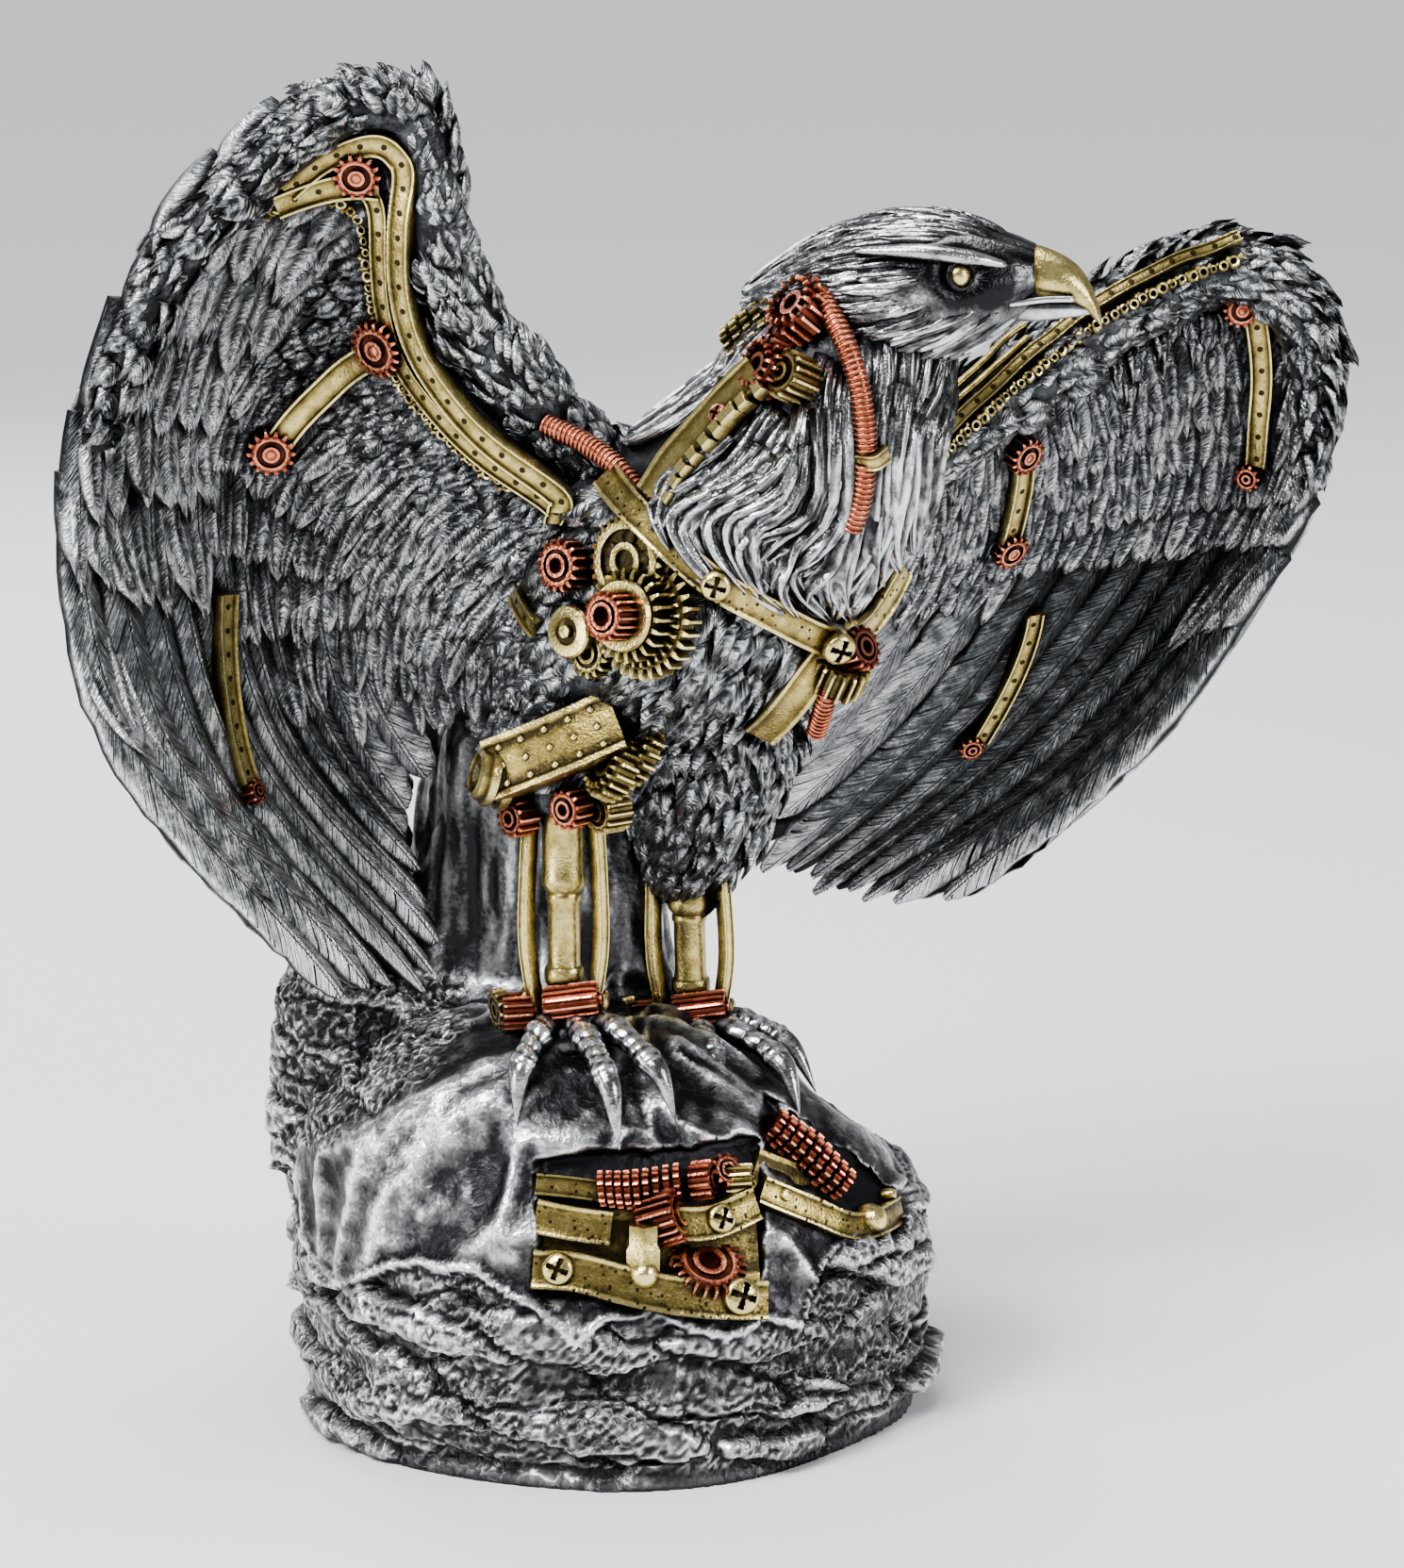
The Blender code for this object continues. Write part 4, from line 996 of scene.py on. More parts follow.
def rock_paint(name, colours):
    """Silver on stone: what the mesh marks as raised is bright, with a hammered grain."""
    paint = Paint(name)
    blotch = paint.noise(paint.place, 90.0, 4.0, 0.62)
    grit = paint.noise(paint.place, 900.0, 3.0, 0.6)
    dents = paint.cells("F1", paint.place, 420.0)
    x, y, z = paint.apart(paint.place)
    bent = paint.joined(paint.add(x, paint.swing(blotch, 0.006)), y, paint.add(z, paint.swing(grit, 0.0022)))
    far = paint.cells("DISTANCE_TO_EDGE", bent, 370.0)
    ridge = paint.sum("SUBTRACT", 1.0, paint.sum("DIVIDE", far, 0.16), clamp=True)
    pitted = paint.times(paint.mark("pitted"), paint.sum("SUBTRACT", ridge, 0.40))
    value = paint.add(
        paint.mark("raised"), paint.swing(blotch, 0.5), paint.swing(grit, 0.40), paint.times(pitted, 0.28)
    )
    # Painted shade: darker where ambient occlusion finds the surface hemmed in.
    value = paint.painted_shade(value, 0.006, 1.2)
    height = paint.add(paint.times(dents, 0.4), paint.times(grit, 0.4), pitted)
    return paint.done(value, colours, (0.12, 0.40, 0.80), 0.42, 0.22, height, 0.0005)


def metal_paint(name, colours, holes=False):
    """Aged brass or copper: a dark wash in the hollows, worn bright on top, with drilled dots where asked for."""
    paint = Paint(name)
    blotch = paint.noise(paint.place, 260.0, 3.0, 0.6)
    grit = paint.noise(paint.place, 1500.0, 2.0)
    value = paint.add(paint.mark("raised"), paint.swing(blotch, 0.75), paint.swing(grit, 0.35))
    height = paint.times(grit, 0.3)
    if holes:
        across, ahead, style = paint.apart(paint.mark("strand", "Vector"))
        cell = paint.sum("SUBTRACT", paint.sum("MODULO", ahead, 5.6), 2.8)
        single = paint.add(paint.sum("POWER", cell, 2.0), paint.sum("POWER", across, 2.0))
        single = paint.sum("LESS_THAN", paint.sum("SQRT", single), 0.72)
        strewn = paint.cells("F1", paint.joined(across, ahead), 0.62, Randomness=0.75)
        strewn = paint.sum("LESS_THAN", strewn, 0.27)
        hole = paint.sum(
            "MAXIMUM", paint.times(single, paint.sum("COMPARE", style, 1.0, 0.4)),
            paint.times(strewn, paint.sum("COMPARE", style, 2.0, 0.4)),
        )
        value = paint.sum("SUBTRACT", value, paint.times(hole, 1.4))
        height = paint.sum("SUBTRACT", height, hole)
    # Painted shade: darker where ambient occlusion finds the surface hemmed in.
    value = paint.painted_shade(value, 0.003, 1.6)
    return paint.done(value, colours, (0.14, 0.52, 0.98), 0.34, 0.14, height, 0.0004, 0.98)


def finish(name):
    """A finish of the figurine, made once from the colours in the panel."""
    if name in bpy.data.materials:
        return bpy.data.materials[name]
    chosen = bpy.context.scene.eagle_finish
    silver = (tuple(chosen.soot), tuple(chosen.silver), tuple(chosen.bright_silver))
    cool = (silver[0], tuple(np.array(chosen.silver) * (0.90, 0.98, 1.0)), silver[2])
    brass = (tuple(chosen.brass_shadow), tuple(chosen.brass), tuple(chosen.bright_brass))
    copper = (tuple(chosen.copper_shadow), tuple(chosen.copper), tuple(chosen.bright_copper))
    makers = {
        "silver_coverts": lambda: silver_paint(name, cool, 0.42, 0.42, slant=1.1),
        "silver_flight_feathers": lambda: silver_paint(name, cool, 0.72, 0.22, slant=1.6, cuts=True),
        "silver_locks": lambda: silver_paint(name, silver, 1.15, 0.50, shine=0.12),
        "silver_claws": lambda: silver_paint(name, silver, 2.5, 0.3, shine=0.12, depth=0.0003),
        "silver_rock": lambda: rock_paint(name, silver),
        "pale_brass": lambda: metal_paint(name, brass, holes=True),
        "aged_copper": lambda: metal_paint(name, copper),
    }
    return makers[name]()


# Wings

def closed_slab(clay, front, back, columns, rows, u_ends, v_ends):
    """A closed sheet between two skins, a little sunk behind the feathers that cover it."""
    near = front.shell(columns, rows, u_ends, v_ends, lambda u, v: np.full_like(u, -0.6))
    far = back.shell(columns, rows, u_ends, v_ends, lambda u, v: np.full_like(u, -0.6))
    total = columns * rows
    grid = grid_faces(columns, rows)
    i = np.arange(columns - 1)
    j = np.arange(rows - 1)
    walls = []
    for edge in (0, rows - 1):
        strip = np.stack([i * rows + edge, (i + 1) * rows + edge, (i + 1) * rows + edge + total, i * rows + edge + total], -1)
        walls.append(strip if edge else strip[:, ::-1])
    for edge in (0, columns - 1):
        base = edge * rows
        strip = np.stack([base + j + 1, base + j, base + j + total, base + j + 1 + total], -1)
        walls.append(strip if edge else strip[:, ::-1])
    clay.add(np.stack([near, far]), [grid[:, ::-1], grid + total] + walls, 0.24)


def feather_row(clay, skin, tip_v, length, gap, u_ends, width, rise, crown, seed, blunt=0.66, skew=0.0, shift=0.0, rows=7,
                uneven=1.8, ribs=2):
    """One row of long covert feathers whose tips end on one line of the wing."""
    u = arc_places(skin, tip_v, gap, u_ends, shift)
    dice = np.random.default_rng(seed)
    pv = np.linalg.norm(skin.slopes(u, np.full_like(u, tip_v))[1], axis=-1)
    tip = np.full_like(u, tip_v) + dice.uniform(-uneven, uneven, len(u)) / pv
    start = np.maximum(tip - length / pv, 0.01)
    centre = down_lines(np.stack([u - skew, start], -1), np.stack([u, tip], -1), rows)
    bend = dice.uniform(-1, 1, (len(u), 1)) * 0.16 * width / np.linalg.norm(skin.slopes(u, tip)[0], axis=-1)[:, None]
    centre[..., 0] += bend * np.sin(4.2 * blade_shares(rows))
    blades(clay, skin, centre, width * dice.uniform(0.82, 1.18, len(u)), rise * dice.uniform(0.6, 1.5, len(u)), crown, 2.2, 7,
           blunt, 0.25, seed=seed, ribs=ribs, groove=0.28)


def flight_feathers(clay, skin, count, u_ends, v_ends, seed, overlap=1.14, rise=1.4, rows=34, columns=9):
    """The long flight feathers, each with a quill, fanned from under the coverts to the wing's end."""
    u = np.linspace(*u_ends, count)
    dice = np.random.default_rng(seed)
    tips = v_ends[1] + dice.uniform(-0.012, 0.012, count)
    t = blade_shares(rows)
    centre = np.zeros((count, rows, 2))
    centre[..., 0] = u[:, None]
    centre[..., 1] = v_ends[0] + (tips[:, None] - v_ends[0]) * t
    step = (u_ends[1] - u_ends[0]) / (count - 1)
    left = skin.at(centre[..., 0] - step / 2, centre[..., 1])
    right = skin.at(centre[..., 0] + step / 2, centre[..., 1])
    width = np.maximum(np.linalg.norm(right - left, axis=-1) * overlap, 4.5)
    heights = rise + 1.3 * (np.arange(count) % 2)
    blades(clay, skin, centre, width, heights, 1.9, 1.6, columns, 0.80, 0.8, 0.20, seed, root=0.6)


def wing_feathers(side):
    """Long feathers of one wing, both sides, as two pieces: the coverts and the flight feathers."""
    settings = bpy.context.scene.eagle_feathers
    front, back = (RIGHT_FRONT, RIGHT_BACK) if side == "right" else (LEFT_FRONT, LEFT_BACK)
    coverts, flight = Clay(), Clay()
    closed_slab(coverts, front, back, 44, 40, (0.005, 0.985), (0.0, 0.93))
    width, length = settings.covert_width / MM, settings.covert_length / MM
    if side == "right":
        for k, (tip, last) in enumerate(((0.94, 0.20), (0.85, 0.34), (0.76, 0.50), (0.66, 0.62), (0.58, 0.66), (0.50, 0.68),
                                         (0.43, 0.70))):
            feather_row(coverts, front, tip, length * 0.9, width * 0.70, (-0.02, last), width * 1.15, 2.6 - 0.15 * k,
                        1.1, 11 + k, 0.5, 0.035, 0.25 * (-1) ** k)
        for k, tip in enumerate((0.63, 0.55, 0.47, 0.38, 0.29, 0.20, 0.12)):
            feather_row(coverts, front, tip, length * 1.35, width * 1.35, (0.66 - 0.012 * k, 1.0), width * 2.3, 2.6,
                        1.0, 31 + k, 0.42, 0.0, 0.25 * (-1) ** k, 8, uneven=3.6, ribs=3)
        for k, tip in enumerate((0.90, 0.76)):
            feather_row(coverts, front, tip, length * 1.7, width * 0.95, (0.93 - 0.01 * k, 1.0), width * 1.7, 2.4,
                        1.0, 41 + k, 0.45, 0.0, 0.2, 9, uneven=3.0, ribs=3)
        flight_feathers(flight, front, settings.flight_feathers, (0.24, 0.99), (0.46, 1.0), 51)
    else:
        feather_row(coverts, front, 0.62, length * 1.3, width * 1.2, (0.78, 1.0), width * 2.0, 2.0, 1.0, 72, 0.5, ribs=3)
        feather_row(coverts, front, 0.58, length * 1.1, width * 0.9, (0.0, 0.30), width * 1.3, 1.8, 1.2, 71, 0.5)
        for k, tip in enumerate((0.50, 0.43, 0.36, 0.29, 0.22)):
            feather_row(coverts, front, tip, length * 0.85, width * 0.80, (0.0, 1.0), width * 1.2, 1.9 - 0.1 * k,
                        1.35, 61 + k, 0.6, 0.0, 0.25 * (-1) ** k, uneven=1.0)
        flight_feathers(flight, front, settings.flight_feathers, (0.08, 0.965), (0.40, 1.0), 73)
    for k, tip in enumerate((0.10, 0.20, 0.30, 0.40, 0.50, 0.60)):
        feather_row(coverts, back, tip, length * 1.15, width * 1.5, (0.02, 0.98), width * 1.9, 1.7, 1.0,
                    81 + k, 0.70, 0.0, 0.25 * (-1) ** k)
    flight_feathers(flight, back, settings.flight_feathers, (0.06, 0.965), (0.46, 0.995), 91)
    coverts.cast(side + "_wing_coverts", "silver_coverts")
    flight.cast(side + "_wing_flight_feathers", "silver_flight_feathers")


def small_coverts(side):
    """The short crinkled coverts under the arm and the tufts on the arm's roll, strewn by the Repeat tree."""
    size = bpy.context.scene.eagle_feathers.small_feather / MM
    right = side == "right"
    front, roll = (RIGHT_FRONT, RIGHT_ROLL) if right else (LEFT_FRONT, LEFT_ROLL)
    if right:
        areas = ((0.02, 0.38, -0.03, 0.70), (0.38, 0.60, -0.03, 0.10), (0.02, 0.14, 0.70, 0.98))
        flow, shape = (0.35, 1.0), (0.95, 1.30, 0.95)
    else:
        areas = ((0.03, 0.19, 0.02, 0.98), (0.19, 0.52, 0.02, 0.26))
        flow, shape = (-0.2, 1.0), (0.75, 1.35, 0.95)
    strewn = [courses(front, (low, high), size * 0.55, size * 0.64, (first, last), 5 + k)
              for k, (low, high, first, last) in enumerate(areas)]
    tufts = courses(roll, (0.0, 1.0), size * 0.72, size * 0.80, (0.0, 1.0), 9)
    feathers = Copies()
    for skin, spots, way, grow, gap, sunk in (
        (front, np.concatenate(strewn), flow, shape, 0.7, 0.4), (roll, tufts, (0.0, 1.0), (1.3, 1.5, 0.85), 0.9, 0.9),
    ):
        strew(feathers, skin, spots, way, np.array(grow) * size, grow[1] * size, gap, sunk)
    feathers.cast(side + "_wing_small_feathers", small_feather(), "silver_coverts", 0.25, math.radians(13),
                  3 if right else 4, 0.42)


def strew(feathers, skin, spots, way, grow, reach, gap, sunk, bare=None):
    """Small feathers on places of a skin, a little sunk, where they are clear of the fittings."""
    spot, turn = on_skin_axes(skin, spots, way)
    kept = clear_of_fittings(spot, turn[:, 1] * reach, gap)
    if bare is not None:
        kept &= ~bare(spot, turn)
    for place, axes in zip(spot[kept] - turn[kept][:, 2] * sunk, turn[kept]):
        feathers.add(place, axes, grow)


def arm_rolls():
    clay = Clay()
    for roll in (RIGHT_ROLL, LEFT_ROLL):
        rings = roll.shell(25, 70)[:-1].transpose(1, 0, 2)
        loft(clay, rings, 0.22)
    clay.cast("wing_arm_rolls", "silver_coverts")


# Trunk, thighs and tail

def tail_skins():
    """The upper and lower skins of the fanned tail."""
    root = np.array((-14.0, 26.0, 167.0))

    def tail_at(u, v):
        spread = (u - 0.5) * np.radians(62.0)
        back = np.stack([
            -FORWARD[0] * np.cos(spread) + FORWARD[1] * np.sin(spread),
            -FORWARD[1] * np.cos(spread) - FORWARD[0] * np.sin(spread), np.zeros_like(spread)], -1)
        drop = -17 * v - 6 * np.abs(u - 0.5) * 2 * v
        return root + back * (54 - 12 * np.abs(u - 0.5))[..., None] * v[..., None] + UP * drop[..., None]

    over = Skin(tail_at, 1)
    if over.normal(np.array(0.5), np.array(0.5))[2] < 0:
        over = Skin(tail_at, -1)
    return over, Skin(lambda u, v: tail_at(u, v) - UP * 2.4, -over.side)


def above_harness(spot, turn):
    """Which places on the breast lie above the harness, where the locks take over."""
    harness = np.interp(spot[:, 0], (-10, 5, 26, 48, 66, 75), (240, 227, 210, 195, 207, 222))
    return (spot[:, 2] > harness + 5) & (turn[:, 2, 1] < 0.25)


def trunk():
    clay, flight, feathers = Clay(), Clay(), Copies()
    thighs = [tube_skin(levels) for levels in THIGHS]
    loft(clay, TRUNK_SKIN.shell(65, 80)[:-1].transpose(1, 0, 2), 0.2)
    for thigh in thighs:
        loft(clay, thigh.shell(33, 24)[:-1].transpose(1, 0, 2), 0.2)
    over, under = tail_skins()
    closed_slab(clay, over, under, 16, 14, (0.02, 0.98), (0.0, 0.9))
    for skin, seed in ((over, 5), (under, 6)):
        flight_feathers(flight, skin, 7, (0.07, 0.93), (0.05, 1.0), seed, 1.25, 1.0, 20, 9)
    clay.cast("trunk_and_thighs", "silver_coverts")
    flight.cast("tail_feathers", "silver_flight_feathers")
    size = bpy.context.scene.eagle_feathers.breast_feather / MM
    for skin, ends, grow, lean in (
        (TRUNK_SKIN, (0.22, 0.97), 1.0, -0.25), (thighs[0], (0.05, 0.97), 0.88, 0.0),
        (thighs[1], (0.05, 0.62), 0.88, 0.0),
    ):
        spots = courses(skin, ends, size * 0.58 * grow, size * 0.64, (0.0, 1.0), 15, 0.2)
        strew(feathers, skin, spots, (lean, 1.0), np.array((1.05, 1.45, 0.95)) * size * grow,
              1.4 * size * grow, 0.5, 0.7, above_harness)
    feathers.cast("breast_and_thigh_feathers", small_feather(0.58), "silver_coverts", 0.16, math.radians(11), 8, 0.40)


# Feathered thighs from hip to knee: middle and radius
THIGHS = (
    ((22, -12, 184, 21), (24, -8, 166, 21), (23, -4, 152, 18), (21, 0, 141, 14), (19, 2, 131, 9.5)),
    ((0, -14, 184, 19), (-3, -20, 168, 16), (-8, -25, 158, 11.5), (-10, -28, 148, 7.5)),
)


def neck_locks():
    """Long curling locks over the neck: guide lines from the front view, and plain hanging ones behind."""
    dice = np.random.default_rng(23)
    rows = 16
    t = blade_shares(rows)
    guides = np.array([seek(TRUNK_SKIN, guide) for guide in NECK_LOCKS])
    clay = Clay()
    for layer, (count, lift, width) in enumerate(((26, 0.4, 8.0), (24, 1.9, 7.4), (20, 3.4, 6.8))):
        centre = np.zeros((count, rows, 2))
        for k in range(count):
            where = (k + dice.uniform(0.2, 0.8)) / count
            guide = np.tensordot(spline_weights(where, len(guides)), guides, 1)
            start = dice.uniform(-0.05, 0.10) + 0.14 * layer * dice.uniform(0.3, 1.2)
            end = min(0.94, start + dice.uniform(0.62, 0.90))
            centre[k] = along(guide, start + (end - start) * t)
            centre[k, :, 0] += 0.016 * np.sin(t * 6.0 + dice.uniform(0, 6.0)) * t
        raise_by = Skin(lambda u, v, lift=lift: TRUNK_SKIN.at(u, v) + TRUNK_SKIN.normal(u, v) * lift, TRUNK_SKIN.side)
        blades(clay, raise_by, centre, width * dice.uniform(0.7, 1.2, count), dice.uniform(0.4, 3.2, count),
               2.7, 2.6, 9, 0.30, 0.2, seed=29 + layer, root=0.8, ribs=2, groove=0.65)
    back = []
    for k, v in enumerate((0.02, 0.10, 0.18, 0.26)):
        for u in np.concatenate([np.linspace(0.02, 0.34, 9), np.linspace(0.74, 0.98, 8)]):
            u = u + dice.uniform(-0.012, 0.012)
            back.append(down_lines([(u, v)], [(u + dice.uniform(-0.02, 0.02), v + 0.17)], rows, 0.012 * (-1) ** k)[0])
    blades(clay, TRUNK_SKIN, np.array(back), 7.5, 2.4, 1.4, 2.8, 9, 0.34, 0.2, seed=37, root=0.8, ribs=2, groove=0.4)
    clay.brighten(0.10, 0)
    clay.cast("neck_locks", "silver_locks")


# Head

# The brow over each eye and the corner of the beak: reach, how far aside, and height
BROW = ((20.0, 16.5, 8.6), (33.0, 16.8, 8.0), (44.0, 13.8, 6.0), (52.0, 10.0, 3.6))
GAPE = ((46.0, 11.2, -4.6), (53.0, 8.6, -4.9), (60.0, 6.0, -4.6), (66.0, 4.4, -4.9))


def head():
    clay = Clay()
    u, v = np.meshgrid(np.linspace(0, 1, 97)[:-1], np.linspace(0, 1, 70), indexing="ij")
    points = HEAD_SKIN.at(u, v)
    grooves = value_noise(np.stack([u * 46 + 3 * v, v * 3.2, np.zeros_like(u)], -1), 1.0, 4)
    eye_at = on_head(42.0, -13.6, 2.4)
    other_eye = on_head(42.0, 13.6, 2.4)
    gap = np.minimum(np.linalg.norm(points - eye_at, axis=-1), np.linalg.norm(points - other_eye, axis=-1))
    hollow = -2.6 * (1 - ease(1.5, 7.0, gap))
    lift = 0.35 * grooves * ease(0.04, 0.2, v) + hollow
    points = points + HEAD_SKIN.normal(u, v) * lift[..., None]
    for sign in (-1, 1):
        gap = np.minimum(gap, np.linalg.norm(points - on_head(48.5, sign * 11.0, 0.5), axis=-1) * 1.2)
    loft(clay, points.transpose(1, 0, 2), ((0.30 + 0.22 * grooves) * ease(5.0, 8.5, gap)).T)
    dice = np.random.default_rng(41)
    spots = courses(HEAD_SKIN, (0.10, 0.93), 3.6, 2.3, (0.0, 1.0), 43, 0.4)
    seen = HEAD_SKIN.at(spots[:, 0], spots[:, 1])
    far = np.minimum(np.linalg.norm(seen - eye_at, axis=-1), np.linalg.norm(seen - other_eye, axis=-1))
    ahead = seen @ next(head_axes()) - OCCIPUT @ next(head_axes())
    lores = (ahead > 41) & (np.abs(seen[:, 2] - eye_at[2]) < 7)
    spots = spots[(far > 6.2) & ~lores]
    cheek = np.clip(-np.sin(2 * np.pi * (spots[:, 0] - 0.5) + np.pi), 0, 1)
    length = dice.uniform(0.14, 0.26, len(spots))
    ends = spots + np.stack([0.05 * cheek * np.where(spots[:, 0] > 0.5, 1, -1), length], -1)
    ends[:, 1] = np.minimum(ends[:, 1], 1.02)
    centre = down_lines(spots, ends, 7, 0.004)
    blades(clay, HEAD_SKIN, centre, dice.uniform(2.0, 3.3, len(spots)), dice.uniform(0.5, 1.2, len(spots)), 0.55,
           1.4, 5, 0.36, 0.15, seed=47, ribs=1, groove=0.16)
    back_u = np.linspace(0.0, 1.0, 30, endpoint=False)
    for ring, (start, end, rise) in enumerate(((0.62, 1.0, 1.2), (0.74, 1.03, 2.2))):
        shift = ring / 60
        centre = down_lines(np.stack([back_u + shift, np.full(30, start)], -1),
                            np.stack([back_u + shift + 0.012, np.full(30, end)], -1), 10, 0.01)
        blades(clay, HEAD_SKIN, centre, 5.6, rise, 1.0, 2.2, 7, 0.34, 0.2, seed=53 + ring, ribs=2, groove=0.35)
    for sign in (-1, 1):
        path = curve([on_head(reach, sign * aside, high) for reach, aside, high in BROW], 24)
        sizes = 2.2 * np.sin(np.linspace(0.25, 2.7, 24)) + 0.3
        tube(clay, path, sizes, 14, 0.60, 0.75)
        for k in range(15):
            angle = math.radians(-80 + k * 19)
            start = on_head(42 + 4.4 * math.cos(angle), sign * 14.6, 1.6 + 4.2 * math.sin(angle))
            aside = sign * (14.0 - 2.2 * max(0, math.cos(angle)))
            end = on_head(42 + 8.2 * math.cos(angle), aside, 1.0 + 7.6 * math.sin(angle))
            if angle < math.radians(60) or angle > math.radians(130):
                lash = curve([start, (start + end) / 2 + (0, -0.3, -0.2), end], 5)
                tube(clay, lash, (0.28, 0.32, 0.26, 0.18, 0.08), 5, 0.16)
    clay.brighten(-0.03, 0.05)
    clay.cast("head_feathers", "silver_locks")


def beak_and_eyes():
    brass, silver = Clay(), Clay()
    sections = np.array((
        (-0.30, 0.2, 6.9, 6.6), (-0.14, 0.1, 7.3, 7.2), (-0.02, 0.0, 7.2, 7.2), (0.10, 0.1, 6.3, 6.6),
        (0.3, 0.5, 5.8, 6.3), (0.6, 2.0, 4.6, 5.3), (0.80, 4.4, 3.3, 4.5), (0.93, 7.6, 2.2, 3.2),
        (1.0, 10.4, 1.3, 1.8), (1.01, 12.4, 0.5, 0.7)))
    smooth = curve(sections, 54)
    angle = full_turn(40)
    ridge = 1 + 0.06 * np.exp(-((angle - np.pi / 2) / 0.3) ** 2)
    reach = 55.0 + np.repeat(smooth[:, :1] * 16.5, len(angle), 1)
    rings = on_head(reach, smooth[:, 2:3] * np.cos(angle),
                    smooth[:, 3:4] * np.sin(angle) * ridge * np.where(np.sin(angle) < 0, 0.82, 1.0) - smooth[:, 1:2])
    marks = np.full(rings.shape[:2], 0.8)
    for sign in (-1, 1):
        nostril = on_head(55.6, sign * 6.4, 2.6)
        off = rings - nostril
        off = np.linalg.norm(off * (1.5, 1.0, 0.62), axis=-1)
        dent = 1 - ease(0.5, 1.7, off)
        rings = rings - unit(nostril - on_head(55.6, 0.0, 2.6)) * dent[..., None] * 1.5
        marks = marks - dent * 1.1
    loft(brass, rings, marks)
    lower = np.array([(50, -5.5, 5.6), (58, -6.8, 4.5), (65, -7.3, 3.1), (70, -7.9, 1.4)], float)
    lower = curve(lower, 26)
    path = on_head(lower[:, 0], np.zeros(26), lower[:, 1])
    tube(silver, path, lower[:, 2], 20, 0.62, 0.72)
    for sign in (-1, 1):
        gape = curve([on_head(reach, sign * aside, high) for reach, aside, high in GAPE], 20)
        tube(silver, gape, np.full(20, 0.75), 8, 0.8)
        middle = on_head(42.0, sign * 13.2, 2.2)
        out = unit(on_head(43.0, sign * 14.6, 2.3) - middle)
        profile = [(2.95 * math.sin(a), -2.95 * math.cos(a)) for a in np.linspace(0.02, math.pi - 0.02, 18)]
        turned(brass, middle, out, profile, 28, 0.95)
        lid = [(3.1 + 0.7 * math.cos(a), 0.8 * math.sin(a)) for a in full_turn(8)]
        hollow_turned(silver, middle + out * 1.3, out, lid, 28, 0.12)
    brass.cast("beak_and_eyes", "pale_brass")
    silver.cast("lower_beak_and_lids", "silver_claws")


# Clockwork

def tooth_shape():
    """One gear tooth: a tapered block of unit size that stands out along +X."""
    clay = Clay()
    rings = []
    for x, half, width in ((-0.3, 0.55, 0.5), (0.0, 0.52, 0.5), (0.72, 0.33, 0.5), (1.0, 0.22, 0.42)):
        rings.append([(x, half, width), (x, -half, width), (x, -half, -width), (x, half, -width)])
    loft(clay, rings, np.repeat(np.array((0.1, 0.25, 0.8, 0.95))[:, None], 4, 1))
    return clay.mesh("gear_tooth", 30)


class Gears:
    """Toothed wheels of one metal: turned bodies, and teeth that the Repeat tree sets round them."""

    def __init__(self):
        self.clay, self.teeth = Clay(), Copies()

    def add(self, middle, axis, radius, width, teeth, depth=0.2, bore=0.28, dish=0.25, crown=False):
        middle, axis = np.asarray(middle, float), unit(axis)
        rim = radius * (1 - depth)
        bore_r, hub, web = radius * bore, radius * (bore + 0.14), rim * 0.80
        half, low = width / 2, width / 2 * (1 - dish)
        profile = [(bore_r, -half), (hub, -half), (hub, -low), (web, -low), (web, -half), (rim, -half), (rim, half),
                   (web, half), (web, low), (hub, low), (hub, half * 1.12), (bore_r, half * 1.12)]
        marks = (0.3, 0.6, 0.15, 0.2, 0.75, 0.5, 0.5, 0.8, 0.2, 0.2, 0.9, 0.5)
        hollow_turned(self.clay, middle, axis, profile, max(24, 2 * teeth), marks)
        core = [(0.01, 0), (bore_r, 0), (bore_r, half), (0.01, half)]
        turned(self.clay, middle - axis * half * 0.7, axis, core, 20, 0.05)
        side, over = ways_across(axis)
        pitch = 2 * np.pi * rim / teeth
        for shift in (0.0, 0.5) if crown else (0.0,):
            for k in range(teeth):
                angle = 2 * np.pi * (k + shift) / teeth
                out = side * np.cos(angle) + over * np.sin(angle)
                if shift:
                    self.teeth.add(middle + out * rim * 0.88 + axis * half, (axis, np.cross(out, axis), out),
                                   (width * 0.28, pitch * 0.45, rim * 0.20))
                else:
                    self.teeth.add(middle + out * rim, (out, np.cross(axis, out), axis),
                                   (radius - rim, pitch * 0.56, width))

    def cast(self, name, metal):
        self.clay.cast(name + "_wheels", metal, 34)
        self.teeth.cast(name + "_teeth", tooth_shape(), metal)


